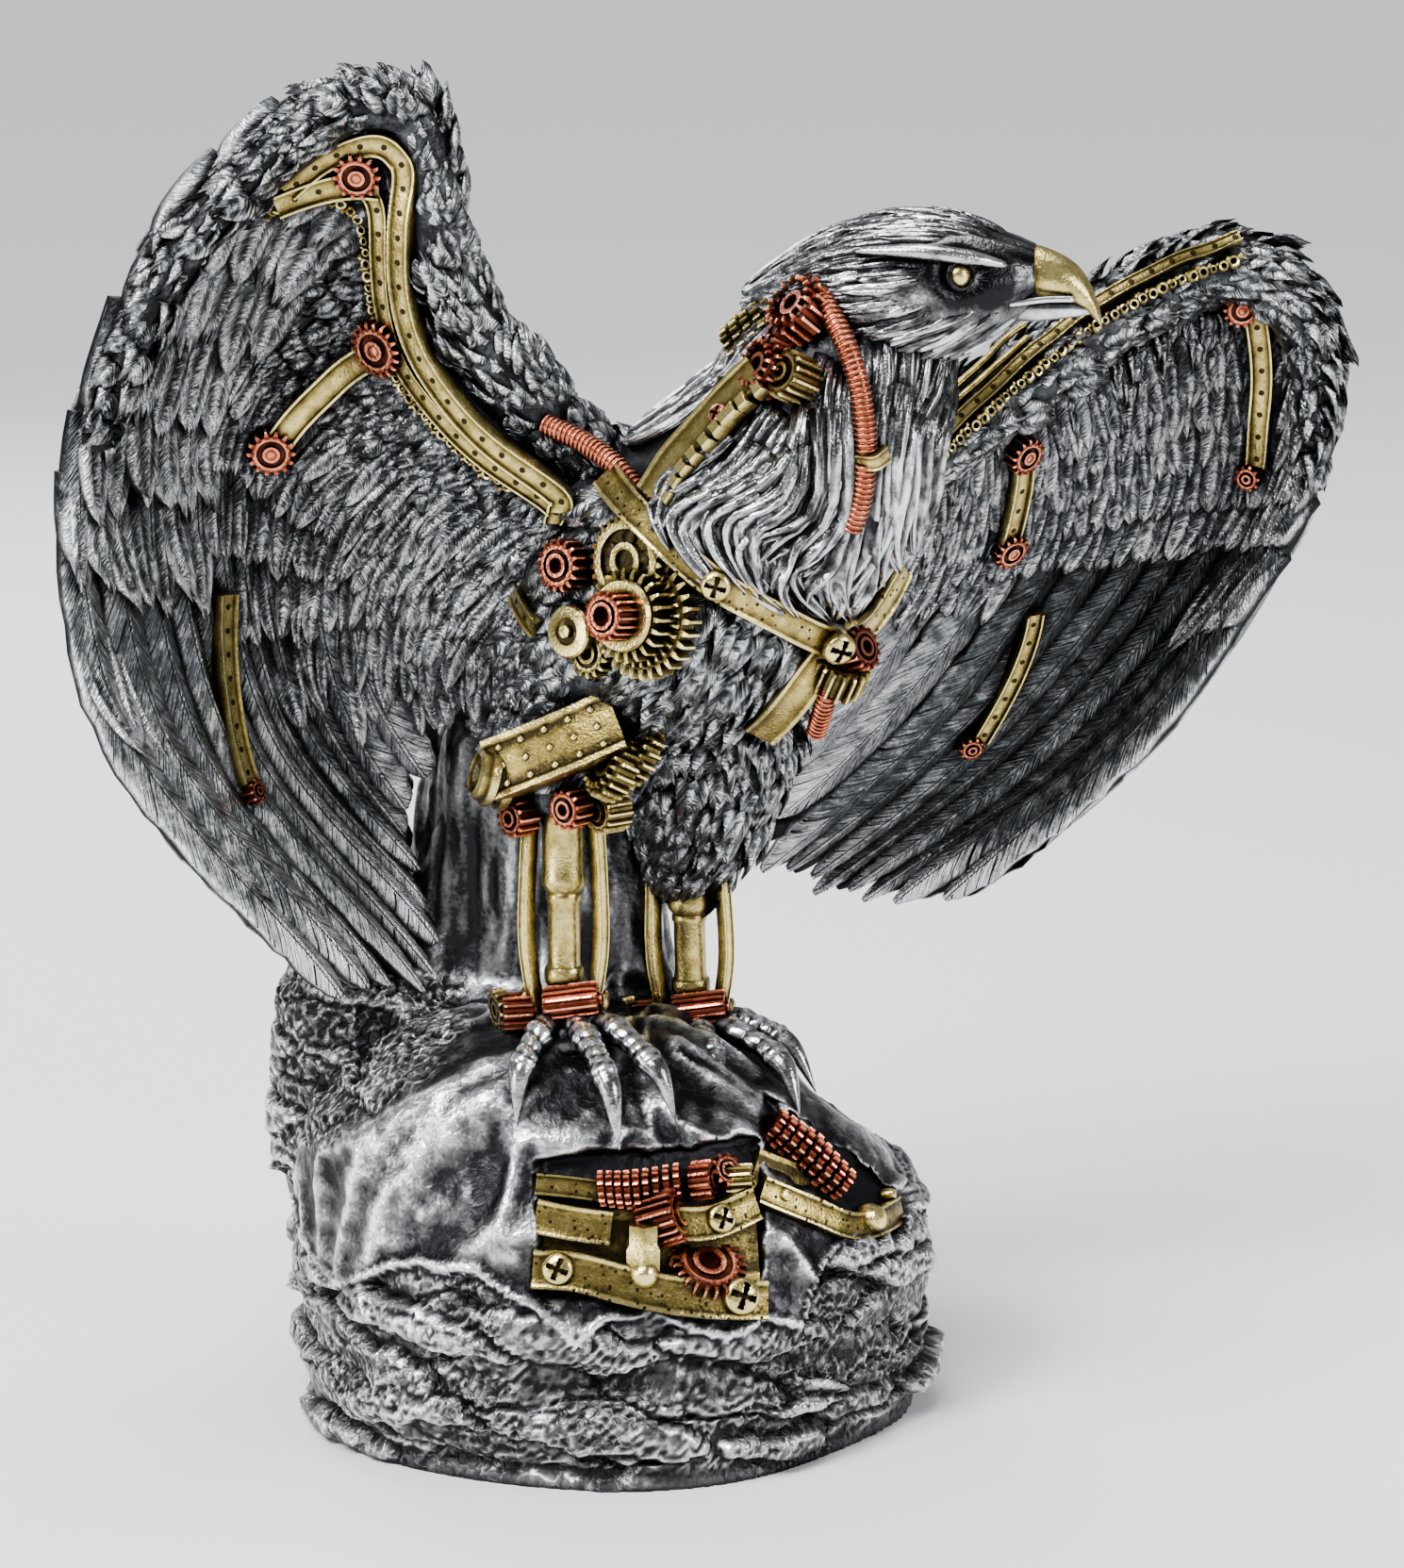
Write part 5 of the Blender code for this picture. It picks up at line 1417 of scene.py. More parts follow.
def gears():
    """The wheels at the joints of the wings, on the shoulder, the neck, the flank and the ankles."""
    brass, copper = Gears(), Gears()
    for skin, across, down, radius, teeth in (
        (RIGHT_FRONT, 0.38, 0.11, 6.6, 18), (RIGHT_FRONT, 0.49, 0.43, 5.6, 14), (RIGHT_FRONT, 0.73, 0.10, 5.4, 14),
        (RIGHT_FRONT, 0.79, 0.80, 2.8, 9), (LEFT_FRONT, 0.71, 0.05, 4.6, 14), (LEFT_FRONT, 0.76, 0.38, 3.2, 10),
        (LEFT_FRONT, 0.24, 0.13, 4.8, 14), (LEFT_FRONT, 0.25, 0.41, 4.6, 14), (LEFT_FRONT, 0.49, 0.77, 3.2, 10),
    ):
        path, normals = skin_line(skin, np.array([(across, down)]), 3.6)
        copper.add(path[0], normals[0], radius, 4.6, teeth, 0.24, 0.20, 0.35)
        if radius > 4:
            pin = [(0.01, 0), (radius * 0.17, 0), (radius * 0.17, 2.6), (0.01, 2.9)]
            turned(copper.clay, path[0], normals[0], pin, 16, 0.7)
    axis = unit((-0.62, -0.75, 0.12))
    root = trunk_front(10.5, 200.0, 1.0)[0]
    brass.add(root, axis, 14.2, 4.4, 30, 0.17, 0.30, 0.55, crown=True)
    brass.add(root + axis * 4.6, axis, 10.4, 6.0, 22, 0.26, 0.34, 0.3)
    collar = [(5.0, -1), (7.6, -1), (8.0, 0), (7.6, 1), (5.0, 1)]
    hollow_turned(brass.clay, root + axis * 8.2, axis, collar, 40, 0.85)
    copper.add(root + axis * 11.6, axis, 5.6, 7.0, 18, 0.18, 0.40, 0.5)
    upper = trunk_front(7.5, 212.0, 1.6)[0]
    brass.add(upper, axis, 10.2, 2.8, 26, 0.13, 0.26, 0.8)
    for k in range(5):
        angle = 2 * np.pi * (k + 0.3) / 5
        out = np.cross(axis, UP) * math.cos(angle) + np.cross(np.cross(axis, UP), axis) * math.sin(angle)
        stud = [(0.01, 0), (1.7, 0), (1.7, 1.2), (1.2, 1.5), (0.01, 1.5)]
        turned(brass.clay, upper + out * 5.4, axis, stud, 14, 0.05)
    copper.add((-8.0, -48, 209.5), axis, 6.0, 5.5, 16, 0.22, 0.3, 0.3)
    cap = [(0.01, -2), (5.5, -2), (5.9, 0.9), (5.5, 1.5), (3.2, 1.8), (2.8, 1.3), (1.5, 1.3), (1.4, 2.6), (0.01, 2.7)]
    turned(brass.clay, (-6.5, -49.5, 195), axis, cap, 36, (0.4, 0.4, 0.7, 0.9, 0.6, 0.2, 0.2, 0.9, 0.7))
    brass.add((-1.5, -49.0, 190.0), axis, 5.6, 5, 15, 0.24)
    brass.add((53.0, -45, 185), (0.3, -0.6, 0.85), 6.6, 8, 16, 0.22)
    copper.add((57.0, -47, 190.5), (0.75, -0.62, 0.35), 5.2, 5, 14, 0.24)
    for x, z, radius, width, teeth, metal, crown in (
        (45, 265.5, 8.0, 6, 16, copper, True), (38, 254.5, 7.0, 5, 16, copper, True),
        (43, 253.0, 5.6, 8, 13, brass, False),
    ):
        place, normal = trunk_front(x, z, 3.2)
        metal.add(place, normal + np.array((-0.7, 0, 0.3)), radius, width, teeth, 0.2, 0.24, 0.3, crown=crown)
    for share in range(5):
        middle = np.array((31.0, -44.0, 257.0)) + np.array((2.2, -1.2, 2.2)) * share
        brass.add(middle, (0.75, -0.3, 0.6), 6.6, 2.2, 20, 0.18, 0.3, 0.2)
    for ankle in RIGHT_ANKLE, LEFT_ANKLE:
        copper.add(ankle + (2, -4.5, 3.6), (1, -0.1, 0.15), 4.6, 12.5, 13, 0.2)
        copper.add(ankle + (-11, 0.5, 0.6), (1, 0.25, 0), 4.4, 7.2, 12, 0.2)
        brass.add(ankle + (-14.6, 1.5, 0.8), (1, 0.4, 0.1), 4.8, 3.0, 12, 0.2)
    hip = RIGHT_SIDE + UP * 0.5
    brass.add((2.5, -42, 162.5), hip, 7.6, 5.2, 17, 0.2, 0.25, 0.3, crown=True)
    brass.add((7.5, -38, 166.0), hip, 9.2, 3.6, 20, 0.2, 0.25, 0.3, crown=True)
    copper.add((-7, -38, 152.5), RIGHT_SIDE + FRONT * 0.5, 4.8, 5.4, 13, 0.22)
    brass.add((1.5, -36, 151.5), RIGHT_SIDE + FRONT * 0.2, 5.0, 7.0, 14, 0.2)
    copper.add((-19, -31, 149.0), RIGHT_SIDE + FRONT * 0.3, 4.6, 6.0, 12, 0.24)
    brass.cast("brass_gear", "pale_brass")
    copper.cast("copper_gear", "aged_copper")


def strap(clay, path, normals, width, thickness, style=0.0, rims=0.35, raised=0.62):
    """A metal strap along a path, a little raised at its rims, closed all round."""
    path, normals = np.asarray(path, float), unit(normals)
    ahead = unit(np.gradient(path, axis=0))
    side = unit(np.cross(ahead, normals))
    a = np.array((-1.0, -0.94, -0.78, -0.66, -0.3, 0.0, 0.3, 0.66, 0.78, 0.94, 1.0))
    high = thickness + rims * np.array((-0.5, 0.9, 0.9, -0.1, 0.0, 0.05, 0.0, -0.1, 0.9, 0.9, -0.5))
    reach, under = width / 2 * a, width / 2 * np.array((1.0, -1.0))
    top = path[:, None] + side[:, None] * reach[:, None] + normals[:, None] * high[None, :, None]
    low = path[:, None] + side[:, None] * under[:, None] - normals[:, None] * thickness
    across = np.broadcast_to(np.concatenate([reach, under]), (len(path), 13))
    run = np.broadcast_to(run_along(path)[:, None], across.shape)
    marks = np.concatenate([raised + 0.25 * (np.array((0, 1, 1, -1.2, 0, 0.2, 0, -1.2, 1, 1, 0))), [0.1, 0.1]])
    loft(clay, np.concatenate([top, low], 1), np.broadcast_to(marks, across.shape),
         np.stack([across, run, np.full(across.shape, style)], -1))


def skin_path(skin, start, end, count, out):
    line = np.linspace(start, end, count)
    return skin_line(skin, line, out)


def skin_line(skin, line, out):
    """A path over a skin along a line of shares, a little out, and the way it faces."""
    normal = skin.normal(line[:, 0], line[:, 1])
    return skin.at(line[:, 0], line[:, 1]) + normal * out, normal


def chain_link():
    """One lumpy link of the arm's chain, a millimetre long, facing +Z."""
    clay = Clay()
    hollow_turned(clay, (0, 0, 0), UP, [(0.20, -0.5), (0.52, -0.5), (0.56, 0.05), (0.42, 0.34), (0.27, 0.30), (0.20, 0.0)],
                  11, (0.1, 0.2, 0.6, 0.95, 0.8, 0.0))
    tube(clay, ((0.3, 0.2, 0.0), (0.62, 0.45, 0.22), (0.92, 0.3, 0.0)), (0.16, 0.24, 0.14), 6, 0.85)
    return clay.mesh("chain_link", 40)


def front_path(points, count, out):
    """A path over the breast through places that the front shows."""
    return skin_line(TRUNK_SKIN, curve(seek(TRUNK_SKIN, points), count), out)


def facing_axes(normal, hint=(0.3, 0.1, 1.0)):
    """Axes of a shape that faces along a direction."""
    side = unit(np.cross(normal, hint))
    return np.stack([side, np.cross(normal, side), normal])


def screw_shape():
    """A domed screw head with a cross slot, a millimetre across, facing +Z."""
    clay, rings, marks = Clay(), [], []
    angle = full_turn(40)
    for radius, height in (
        (0.5, -0.3), (0.5, 0.10), (0.46, 0.17), (0.38, 0.21), (0.32, 0.235), (0.26, 0.25), (0.2, 0.26), (0.15, 0.265),
        (0.11, 0.27), (0.07, 0.27), (0.03, 0.27), (0.002, 0.27),
    ):
        x, y = radius * np.cos(angle), radius * np.sin(angle)
        slot = ((np.abs(x) < 0.062) | (np.abs(y) < 0.062)) & (radius < 0.34)
        rings.append(np.stack([x, y, height - 0.2 * slot], -1))
        marks.append(np.where(slot, -0.4, 0.85))
    loft(clay, rings, np.array(marks))
    return clay.mesh("screw_head", 40)


def arm_straps(brass):
    """The bands along both wings' arms; it hands back the paths of their chains."""
    arm = ((1, 216), (-8, 225), (-23, 236), (-35, 250), (-40, 260), (-42, 272), (-41, 286), (-42, 298), (-50, 303),
           (-61, 300), (-70, 293))
    line = curve(seek(RIGHT_FRONT, arm), 130)
    for drift, width, out, count in ((0.0, 5.6, 3.0, 130), (0.062, 4.4, 2.2, 93)):
        path, normals = skin_line(RIGHT_FRONT, line + (0.0, drift), out)
        strap(brass, path[:count], normals[:count], width, 1.4, 1.0, 0.6)
    chains = [skin_line(RIGHT_FRONT, line[20:118] + (0.0, 0.098), 2.6)]
    band = curve([(67, 224), (84, 237), (100, 248.5), (115, 258), (131, 266), (148, 271)], 110)
    skins = (LEFT_FRONT, LEFT_ROLL)
    strap(brass, *foremost(skins, band, 2.6), 3.0, 1.3, 1.0, 0.5)
    chains.append(foremost(skins, band + (0, -3.4), 2.4))
    for lift in (2.7, 5.0):
        path, _ = foremost(skins, band[:46] + (-1.0, lift), 1.6)
        tube(brass, path, np.full(len(path), 0.9), 10, 0.6)
    return chains


def collar(brass):
    """The strap up the nape, with square blocks along its upper edge."""
    path, normals = front_path(((14, 225), (21, 235), (29, 244), (37, 253)), 50, 4.6)
    strap(brass, path, normals, 8.4, 1.3, 0.0, 0.4)
    side = unit(np.cross(unit(np.gradient(path, axis=0)), normals))
    upper = -1 if side[0][2] > 0 else 1
    for k in range(3, 50, 5):
        ahead = unit(path[min(k + 1, 49)] - path[k - 1])
        block = path[k] + side[k] * upper * 4.6
        corners = [
            [block + ahead * x * 1.55 * grow + side[k] * y * 1.7 * grow + normals[k] * low
             for x, y in ((-1, -1), (1, -1), (1, 1), (-1, 1))]
            for low, grow in ((-1.0, 1.0), (2.2, 1.0), (2.9, 0.72))
        ]
        loft(brass, corners, np.repeat(np.array((0.1, 0.7, 0.95))[:, None], 4, 1))


def hip_path():
    """The path of the plate over the hip, and the way it faces."""
    path = curve(((-25, -34, 160), (-15.5, -38.6, 164.6), (-5.5, -41.6, 169.4), (4, -43, 174)), 34)
    return path, np.tile(unit(FRONT + RIGHT_SIDE * 0.5 + UP * 0.4), (34, 1))


def hip_rivets():
    path, normals = hip_path()
    side = unit(np.cross(unit(np.gradient(path, axis=0)), normals))
    rivets, dome = Copies(), Clay()
    for k in range(4, len(path) - 2, 6):
        for a in (-4.2, 0.0, 4.2):
            axes = (side[k], np.cross(normals[k], side[k]), normals[k])
            rivets.add(path[k] + side[k] * a + normals[k] * 2.3, axes, 1.8)
    turned(dome, (0, 0, 0), UP, [(0.01, -0.3), (0.5, -0.3), (0.5, 0.05), (0.36, 0.28), (0.01, 0.36)], 12,
           (0.1, 0.1, 0.4, 0.9, 1.0))
    rivets.cast("hip_rivets", dome.mesh("rivet"), "pale_brass")


def arm_chain(chains):
    links = Copies()
    for path, normals in chains:
        run = run_along(path)
        for mark in np.arange(1.5, run[-1], 2.7):
            near = np.argmin(np.abs(run - mark))
            ahead = unit(path[min(near + 1, len(path) - 1)] - path[max(near - 1, 0)])
            links.add([np.interp(mark, run, path[:, k]) for k in range(3)],
                      (ahead, np.cross(normals[near], ahead), normals[near]), 2.6)
    links.cast("arm_chain", chain_link(), "pale_brass", 0.2, math.radians(16), 12)


def straps_and_plates():
    brass, screws, nape = Clay(), Copies(), Copies()
    chains = arm_straps(brass)
    for skin, start, end, width, style in (
        (RIGHT_FRONT, (0.38, 0.13), (0.48, 0.42), 6.6, 0.0), (RIGHT_FRONT, (0.66, 0.07), (0.84, 0.20), 6.6, 1.0),
        (RIGHT_FRONT, (0.64, 0.62), (0.78, 0.79), 5.4, 1.0), (LEFT_FRONT, (0.74, 0.07), (0.785, 0.36), 5.4, 1.0),
        (LEFT_FRONT, (0.24, 0.15), (0.245, 0.39), 5.6, 1.0), (LEFT_FRONT, (0.36, 0.57), (0.50, 0.76), 4.6, 1.0),
    ):
        strap(brass, *skin_path(skin, start, end, 40, 2.8), width, 1.5, style, 0.7)
    strap(brass, *skin_path(RIGHT_FRONT, (0.0, 0.20), (-0.02, 0.62), 30, 2.6), 6.5, 1.4, 1.0, 0.5)
    for points, style, width, forward in (
        (((5, 227), (14, 219), (26, 210), (38, 202), (49, 195)), 2.0, 8.4, 0.7),
        (((48, 194), (57, 199), (66, 207)), 2.0, 8.0, 0.7), (((49, 195), (42, 185), (33, 173)), 0.0, 9.6, 1.6),
    ):
        path, normals = front_path(points, 46, 4.8)
        strap(brass, path, unit(normals + FRONT * forward), width * 0.88, 1.3, style, 0.35)
    for x, z, size, out in ((26, 210, 6.6, 7.0), (47.5, 196, 7.4, 8.4)):
        place, normal = trunk_front(x, z, out)
        screws.add(place, facing_axes(unit(normal + FRONT * 0.8)), size)
    collar(brass)
    strap(brass, *front_path(((-18, 212), (-16.5, 203), (-12, 194)), 30, 3.0), 4.4, 1.3, 1.0, 0.5)
    strap(brass, *hip_path(), 14.5, 2.2, 0.0, 0.7, 0.40)
    hub = [(0.01, -3), (7.0, -3), (7.2, -1), (6.3, -0.6), (6.3, 0.4), (7.0, 0.9), (7.0, 2.6), (6.0, 3.0), (5.8, 4.6),
           (4.6, 5.2), (4.4, 4.2), (2.2, 4.2), (2.0, 5.0), (0.01, 5.1)]
    turned(brass, (-24, -33, 158.5), (-0.9, -0.25, 0.25), hub, 36,
           (0.3, 0.5, 0.8, 0.2, 0.2, 0.8, 0.8, 0.3, 0.8, 0.9, 0.3, 0.4, 0.8, 0.8))
    brass.cast("brass_straps", "pale_brass", 38)
    arm_chain(chains)
    hip_rivets()
    screws.cast("brass_screws", screw_shape(), "pale_brass")
    place, normal = trunk_front(29.5, 243, 6.3)
    nape.add(place, facing_axes(normal), 4.6)
    nape.cast("nape_screw", screw_shape(), "aged_copper")


def hoses():
    """The ribbed copper hoses, each along its own path, and the brass clip on the neck hose."""
    settings = bpy.context.scene.eagle_clockwork
    for name, path, share in (
        ("neck_hose", front_path(((49, 268), (52, 262), (55, 254), (56, 246), (56, 238)), 30, 4.8)[0], 1.0),
        ("neck_hose_end", front_path(((56, 236), (55, 230), (53, 222)), 20, 4.8)[0], 1.0),
        ("shoulder_hose", curve(((-12, -36, 239), (-4, -41, 236), (4, -47, 231), (10, -52, 224)), 30), 1.0),
        ("flank_hose", curve(((52, -46, 186), (50, -45, 179), (48, -38, 170)), 20), 0.92),
    ):
        line = bpy.data.meshes.new(name + "_path")
        line.from_pydata((path * MM).tolist(), [(i, i + 1) for i in range(len(path) - 1)], [])
        made = grown_mesh(line, hose_tree(), {
            "Radius": settings.hose_diameter * share / 2, "Rib Pitch": settings.rib_pitch,
            "Rib Thickness": settings.rib_pitch * 0.36, "Finish": finish("aged_copper"),
        })
        mark_points(made, "raised", np.full(len(made.vertices), 0.72))
        piece(name, made, "aged_copper")
    clip = Clay()
    place, normal = trunk_front(56.5, 237.5, 6.4)
    path = curve([place + (3.6, 1.5, 1.5), place + normal * 1.4, place + (-3.6, 1.5, -0.5)], 14)
    strap(clip, path, np.tile(normal, (14, 1)), 3.6, 0.9, 0.0, 0.3)
    clip.cast("hose_clip", "pale_brass", 38)


# Legs and feet

def legs():
    brass = Clay()
    for ankle, knee in (((-9, -30, 104), (-9, -28, 150)), ((20, 3, 94), (19, 2, 136))):
        ankle, knee = np.array(ankle, float), np.array(knee, float)
        axis = knee - ankle
        length = np.linalg.norm(axis)
        profile = [(r * 4.9, s * length) for r, s in (
            (0.0, -0.06), (0.74, -0.06), (0.76, -0.03), (0.76, 0.12), (0.90, 0.14), (0.93, 0.16), (0.93, 0.20), (0.88, 0.215),
            (0.80, 0.22), (0.76, 0.25), (0.76, 0.54), (0.84, 0.555), (0.84, 0.58), (0.80, 0.59), (1.0, 0.62), (1.04, 0.64),
            (1.04, 0.67), (1.0, 0.69), (1.0, 0.92), (1.08, 0.94), (1.08, 1.02), (0.0, 1.03))]
        profile[0], profile[-1] = (0.01, profile[0][1]), (0.01, profile[-1][1])
        turned(brass, ankle, axis, profile, 40, 0.66)
        for sign in (-1, 1):
            across = unit((sign, -0.15 * sign, 0))
            reach = curve([(5.8,), (8.4,), (8.2,), (7.2,)], 24)
            path = ankle + axis * np.linspace(-0.04, 1.04, 24)[:, None] + across * reach + FRONT * 2.0
            strap(brass, path, np.tile(unit(across * 0.8 + FRONT), (24, 1)), 2.6, 1.4, 0.0, 0.3, 0.85)
            for share, high in ((0.0, 0.05), (0.5, 0.97)):
                spot = ankle + axis * high + across * 8.2
                turned(brass, spot, across, [(0.01, -2), (2.4, -2), (2.4, 1.4), (1.6, 2.0), (0.01, 2.0)], 18, 0.8)
        turned(brass, ankle + axis * 0.0 - unit((1, -0.15, 0)) * 8, (1, -0.15, 0),
               [(0.01, 0), (2.6, 0), (2.6, 16), (0.01, 16)], 20, 0.5)
    brass.cast("brass_legs", "pale_brass", 36)
    silver = Clay()
    right, left = (-9, -31, 103), (20, 1, 93)
    toes = (
        (right, (-14, -40, 101), (-18, -48, 95), (-19.5, -52, 82)), (right, (-4, -44, 101), (1, -55, 94), (4, -60, 79)),
        (right, (2, -41, 102), (11, -50, 96), (16.5, -54, 84)), (right, (-16, -24, 101), (-22, -18, 99), (-24, -15, 96)),
        (left, (22, -10, 93), (25, -20, 90), (27, -27, 79)), (left, (29, -8, 93), (40, -16, 88), (45, -23, 76)),
        (left, (31, 1, 93), (41, -2, 89), (49, -7, 78)), (left, (14, 8, 92), (8, 13, 91), (4, 16, 89)),
    )
    for points in toes:
        points = np.array(points, float)
        rows = 64
        share = np.linspace(0, 0.70, rows)
        path = along(points, share)
        angle = full_turn(18)
        drift = points[0, 0] + share[:, None] * (46 + 9 * np.sin(points[1, 0])) + 1.4 * np.sin(share[:, None] * 9)
        scute = np.abs(np.sin(drift + 0.9 * np.cos(angle))) ** 0.5 * 0.45
        knuckle = 0.7 * np.exp(-((share - 0.36) / 0.06) ** 2) + 0.7 * np.exp(-((share - 0.63) / 0.05) ** 2)
        radii = 2.9 - 0.7 * share[:, None] / 0.7 + knuckle[:, None] + scute * (0.4 + 0.6 * (np.sin(angle) > -0.2))
        # Brighter along the top of each toe and darker underneath: painted light from above, over the rubbed scutes and
        # the stripes.
        marks = np.clip(0.02 + 1.25 * scute + 0.25 * np.sin(angle) + 0.15 * np.sin(7 * angle + drift), 0, 0.9)
        _, side, over = frames(path, UP)
        rings = path[:, None] + side[:, None] * (radii * np.cos(angle))[..., None] + over[:, None] * (radii * np.sin(angle))[..., None]
        loft(silver, rings, marks)
        claw = along(points, np.linspace(0.64, 1.0, 26))
        claw = claw + UP * (1.6 * np.sin(np.linspace(0, np.pi, 26)))[:, None]
        sizes = 2.9 * (1 - np.linspace(0, 1, 26) ** 1.5) + 0.15
        sizes[:3] *= (0.6, 0.9, 1.0)
        tube(silver, claw, sizes, 16, 0.50, 0.92)
    for ankle in (right, left):
        turned(silver, np.array(ankle) - (0, 0, 9), UP, [(0.01, 0), (8.5, 0), (8, 5), (6.6, 8), (0.01, 9)], 28, 0.3)
    silver.cast("feet", "silver_claws")


# Rock

def rock_rings(levels, sides, ring):
    angle = full_turn(sides)
    return np.array([ring(level, angle) for level in levels])


def rock_solids():
    """The drum, the outcrop and the crag of the rock as the casting has them."""
    clay = Clay()
    drum = (
        (0.0, 0.0, 0.0, 0.93, 0.94), (0.05, 0.0, 0.0, 0.98, 0.99), (0.17, 0.0, 0.0, 1.01, 1.01), (0.25, 0.0, 0.0, 0.96, 0.96),
        (0.36, 0.0, 0.0, 1.0, 0.99), (0.47, 0.0, 0.0, 0.97, 0.97), (0.57, -0.01, 0.0, 0.93, 0.94), (0.68, -0.04, 0.0, 0.86, 0.90),
        (0.78, -0.07, 0.0, 0.77, 0.84), (0.88, -0.08, 0.0, 0.64, 0.78), (0.96, -0.07, 0.0, 0.50, 0.68), (1.0, -0.05, -0.02, 0.28, 0.50))

    def drum_ring(level, angle):
        share, mx, my, sx, sy = level
        height = share * 98
        lumps = 0.028 if share < 0.8 else 0.0
        wave = 1 + lumps * (np.sin(3 * angle + 0.04 * height) + 0.7 * np.sin(5 * angle - 0.065 * height + 1.7))
        return np.stack([mx * 152 + sx * 76 * wave * np.cos(angle), my * 132 + sy * 66 * wave * np.sin(angle),
                         np.full_like(angle, height)], -1)

    def outcrop_ring(level, angle):
        share, grow = level
        height = share * 109
        wave = 1 + 0.09 * np.sin(2 * angle + 0.07 * height) + 0.06 * np.sin(5 * angle - 0.05 * height)
        return np.stack([-54 + 25.1 * grow * wave * np.cos(angle), 21.1 + 26.4 * grow * wave * np.sin(angle),
                         np.full_like(angle, height)], -1)

    def crag_ring(level, angle):
        share, wide, deep = level
        wave = 1 + 0.08 * np.sin(3 * angle + 9 * share) + 0.05 * np.sin(7 * angle)
        return np.stack([-17 + 3 * share + wide * wave * np.cos(angle), 20 + deep * wave * np.sin(angle),
                         np.full_like(angle, 58.8 + 111.2 * share)], -1)

    loft(clay, rock_rings(drum, 72, drum_ring))
    loft(clay, rock_rings(((0.3, 0.8), (0.55, 1.12), (0.74, 1.04), (0.9, 1.0), (1.0, 0.72)), 48, outcrop_ring))
    loft(clay, rock_rings(((0.0, 38, 24), (0.3, 34, 22), (0.5, 31, 19), (0.72, 30, 18), (0.9, 26, 16), (1.0, 20, 13)), 48, crag_ring))
    return clay.mesh("rock_solids")


def drape_edge(x, y):
    """Height of the ragged lower edge of the smooth metal drape: over the front as it looks there, higher behind."""
    front = np.interp(
        x, (-74, -69, -61, -42, -28, -16, -6, 3, 11, 20, 28, 37, 45, 49, 57, 66, 76),
        (52, 43.5, 39, 50, 50, 43.5, 35, 40, 41.5, 36, 33, 37, 35, 46, 52, 56, 58),
    )
    return front + (60 - front) * ease(-8, 14, y)


def window_mask(x, z):
    """Where the front of the rock is let in behind the mechanism."""
    main = ease(-16, -12.5, x) * (1 - ease(34, 37, x)) * ease(45, 48, z) * (1 - ease(74, 76.5, z))
    t = np.clip((x - 37) / 28, 0, 1)
    middle = 75.5 - 21 * t
    channel = ease(35, 38, x) * (1 - ease(66, 69, x)) * (1 - ease(5.2, 7.5, np.abs(z - middle)))
    return np.maximum(main, channel)


